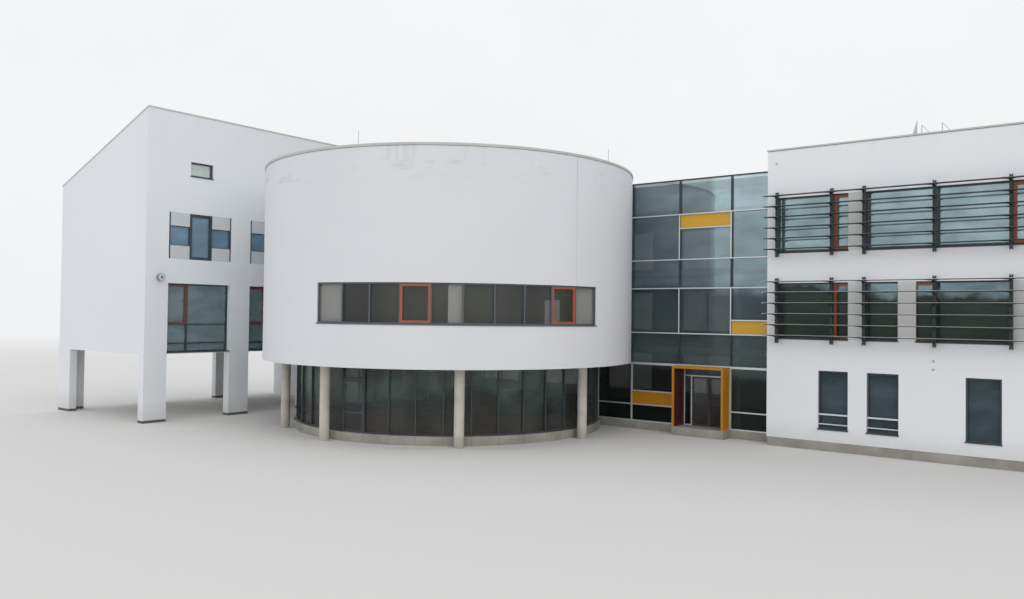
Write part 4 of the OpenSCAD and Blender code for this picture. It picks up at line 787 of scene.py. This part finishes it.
def coated_glass(name, tints_and_reflections, alpha, mirror=None, ior=1.3, ragged=0.5, rise=0.0, dim=(0.0, 1.0, 1.0),
                 mottle=(2.5, 0.88, 1.12), bow=0.03):
    """Coated insulating glass, with reflections painted into its colour. A level is worked out at each
    point: its height, plus noise times `ragged` metres, plus `rise` metres for each metre along X. The
    level picks the colour from the stops (height, colour), which paint the tint together with a
    reflection: pale sky above, dark surroundings below and a ragged painted skyline between. It also
    sets how much the glass mirrors, which grows from nothing at the first height of `mirror` to its
    third number at the second. The colour is weakened to the third number of `dim` where X is below
    the first, and whole past the second, a painted darker reflection. Mottling stretched in height by
    the first number of `mottle` varies it between the other two, painting blurred reflections, and
    the pane bulges by `bow`."""
    made, tree, shader, place = new_material(name)
    parts = add_node(tree, "SeparateXYZ", {"Vector": place}).outputs
    edge = add_node(tree, "TexNoise", {"Vector": place, "Scale": 1.5, "Detail": 7.0, "Roughness": 0.65})
    spread = add_node(tree, "Math", {0: edge, 1: -0.5}, operation="ADD")
    uneven = add_node(tree, "Math", {0: spread, 1: ragged, 2: parts["Z"]}, operation="MULTIPLY_ADD")
    level = add_node(tree, "Math", {0: parts["X"], 1: rise, 2: uneven}, operation="MULTIPLY_ADD")
    share = add_node(tree, "Math", {0: level, 1: highest_colour_stop}, operation="DIVIDE")
    tint_and_reflection = add_node(tree, "ValToRGB", {"Fac": share})
    while len(tint_and_reflection.color_ramp.elements) < len(tints_and_reflections):
        tint_and_reflection.color_ramp.elements.new(1.0)
    for element, (height, code) in zip(tint_and_reflection.color_ramp.elements, tints_and_reflections):
        element.position = height / highest_colour_stop
        element.color = linear(code)
    stretch, darkest, lightest = mottle
    streaky = add_node(tree, "Mapping", {"Vector": place, "Scale": (1.0, 1.0, stretch)})
    mottled = add_node(tree, "TexNoise", {"Vector": streaky, "Scale": 1.4, "Detail": 5.0, "Roughness": 0.5})
    reflection_mottling = add_node(tree, "MapRange", {"Value": mottled, "From Min": 0.35, "From Max": 0.65,
                                           "To Min": darkest, "To Max": lightest})
    near, far, weakest = dim
    reflection_dimming = add_node(tree, "MapRange", {"Value": parts["X"], "From Min": near, "From Max": far,
                                         "To Min": weakest, "To Max": 1.0})
    strength = add_node(tree, "Math", {0: reflection_mottling, 1: reflection_dimming}, operation="MULTIPLY")
    add_node(tree, "VectorMath", {"Vector": tint_and_reflection, "Scale": strength}, operation="SCALE",
             to=shader.inputs["Base Color"])
    if mirror:
        low, high, most = mirror
        add_node(tree, "MapRange", {"Value": level, "From Min": low, "From Max": high, "To Max": most},
                 to=shader.inputs["Metallic"])
    bulge = add_node(tree, "TexNoise", {"Vector": place, "Scale": 1.7, "Detail": 1.0})
    add_node(tree, "Bump", {"Height": bulge, "Strength": bow, "Distance": 0.02}, to=shader.inputs["Normal"])
    shader.inputs["Alpha"].default_value = alpha
    shader.inputs["IOR"].default_value = ior
    shader.inputs["Roughness"].default_value = 0.03
    return made


# Painted reflection on the hall: dark low down, pale sky from about 3.4 m up, and weaker on the left, where
# the shaded drum is mirrored.
hall_tints_and_reflections = [(0.2, "#1D2723"), (1.45, "#232F2B"), (1.60, "#5A6D6C"), (3.25, "#54666A"),
              (3.45, "#9AAFB6"), (4.90, "#A2B7BD"), (5.10, "#C2D8DF"), (5.60, "#C6DCE3")]
dress(coated_glass("hall_solar_glass", hall_tints_and_reflections, 0.6, (3.3, 3.5, 0.8), ragged=0.45, rise=0.06,
                   dim=(2.70, 2.85, 0.72)), "hall_glass")
# Painted reflection on the wing: grey on the ground floor, dark green surroundings in the first band, pale
# sky above 3.5 m.
wing_tints_and_reflections = [(0.4, "#3E4D51"), (1.6, "#46545A"), (2.1, "#303F34"), (3.40, "#3B4A42"),
              (3.50, "#7F969C"), (4.3, "#9CB3B6"), (5.5, "#A9BFC3")]
dress(coated_glass("wing_solar_glass", wing_tints_and_reflections, 0.86, (3.42, 3.60, 0.7), ragged=0.8, rise=0.06,
                   mottle=(2.5, 0.8, 1.25)), "wing_glass")
# Painted reflection on the block: pale walls low down, blue-grey sky higher up, palest in the attic window.
block_tints_and_reflections = [(1.6, "#8FA4A6"), (3.3, "#95AAAC"), (3.8, "#8CABC2"), (5.60, "#9AB4C4"), (5.75, "#CFD8D2")]
dress(coated_glass("block_solar_glass", block_tints_and_reflections, 0.75, (1.0, 1.6, 0.5), bow=0.004), "left_glass")
# The base glass and doors paint a dim reflection and the room behind into their colour: brown and green bands
# with tall streaky mottling.
base_tints_and_reflections = [(0.0, "#2F2D29"), (0.5, "#4A4640"), (0.8, "#3A4643"), (1.2, "#5E706A"), (1.6, "#4C4E48")]
base_glass = coated_glass("drum_base_insulating_glass", base_tints_and_reflections, 0.40, ior=1.5, ragged=1.8,
                          mottle=(0.3, 0.6, 1.5))
dress(base_glass, "drum_base_glass", "drum_door_glass", "leaf_left_glass", "leaf_right_glass")
dress(coated_glass("drum_window_insulating_glass", [(2.3, "#5B5D55"), (3.2, "#6B6D65")], 0.30, ior=1.5,
                   mottle=(0.3, 0.8, 1.3)), "drum_window_glass")


# Blinds. Roller blinds of woven screen cloth, pale and matt, hang behind some panes of the drum
# window, each with a round bar in its hem. The weave is 0.5 mm and is drawn far coarser to show.
screen_cloth = two_tone("woven_screen_cloth", "#F6F6EF", "#ECECE4", scale=220.0, detail=1.0, roughness=0.9)
pane_step, pane_first, blind_r, cloth_t, hem_r = 8.17, -85.6, drum_r - 0.098, 0.0015, 0.006
cloth_foot, cloth_head, hem_z = 2.385, 3.150, 2.380

# A row holds the number of a pane, and the shares of its width at which its blind begins and ends.
blinds = np.array([[0, 0.0, 1.0], [4, 0.5, 1.0], [9, 0.0, 1.0]])
side_gap = np.array([[0.004], [-0.004]])
blind_a, blind_b = np.radians(pane_first + pane_step * (blinds[:, :1] + blinds[:, 1:])).T + side_gap
blind_middle = (blind_a + blind_b) / 2
blind_from, blind_to = (rows(drum_axis[0] + blind_r * np.cos(a), drum_axis[1] + blind_r * np.sin(a), 0.0)
                        for a in (blind_a, blind_b))
blind_out = rows(np.cos(blind_middle), np.sin(blind_middle), 0.0)
cloth = [(0.0, cloth_foot), (cloth_t, cloth_foot), (cloth_t, cloth_head), (0.0, cloth_head)]
hem = [(hem_r * math.cos(a), hem_z + hem_r * math.sin(a)) for a in np.radians(np.arange(0, 360, 45))]
fit("drum_blinds", joined(carried(cloth, blind_from, blind_to, blind_out),
                          carried(hem, blind_from, blind_to, blind_out)), screen_cloth)
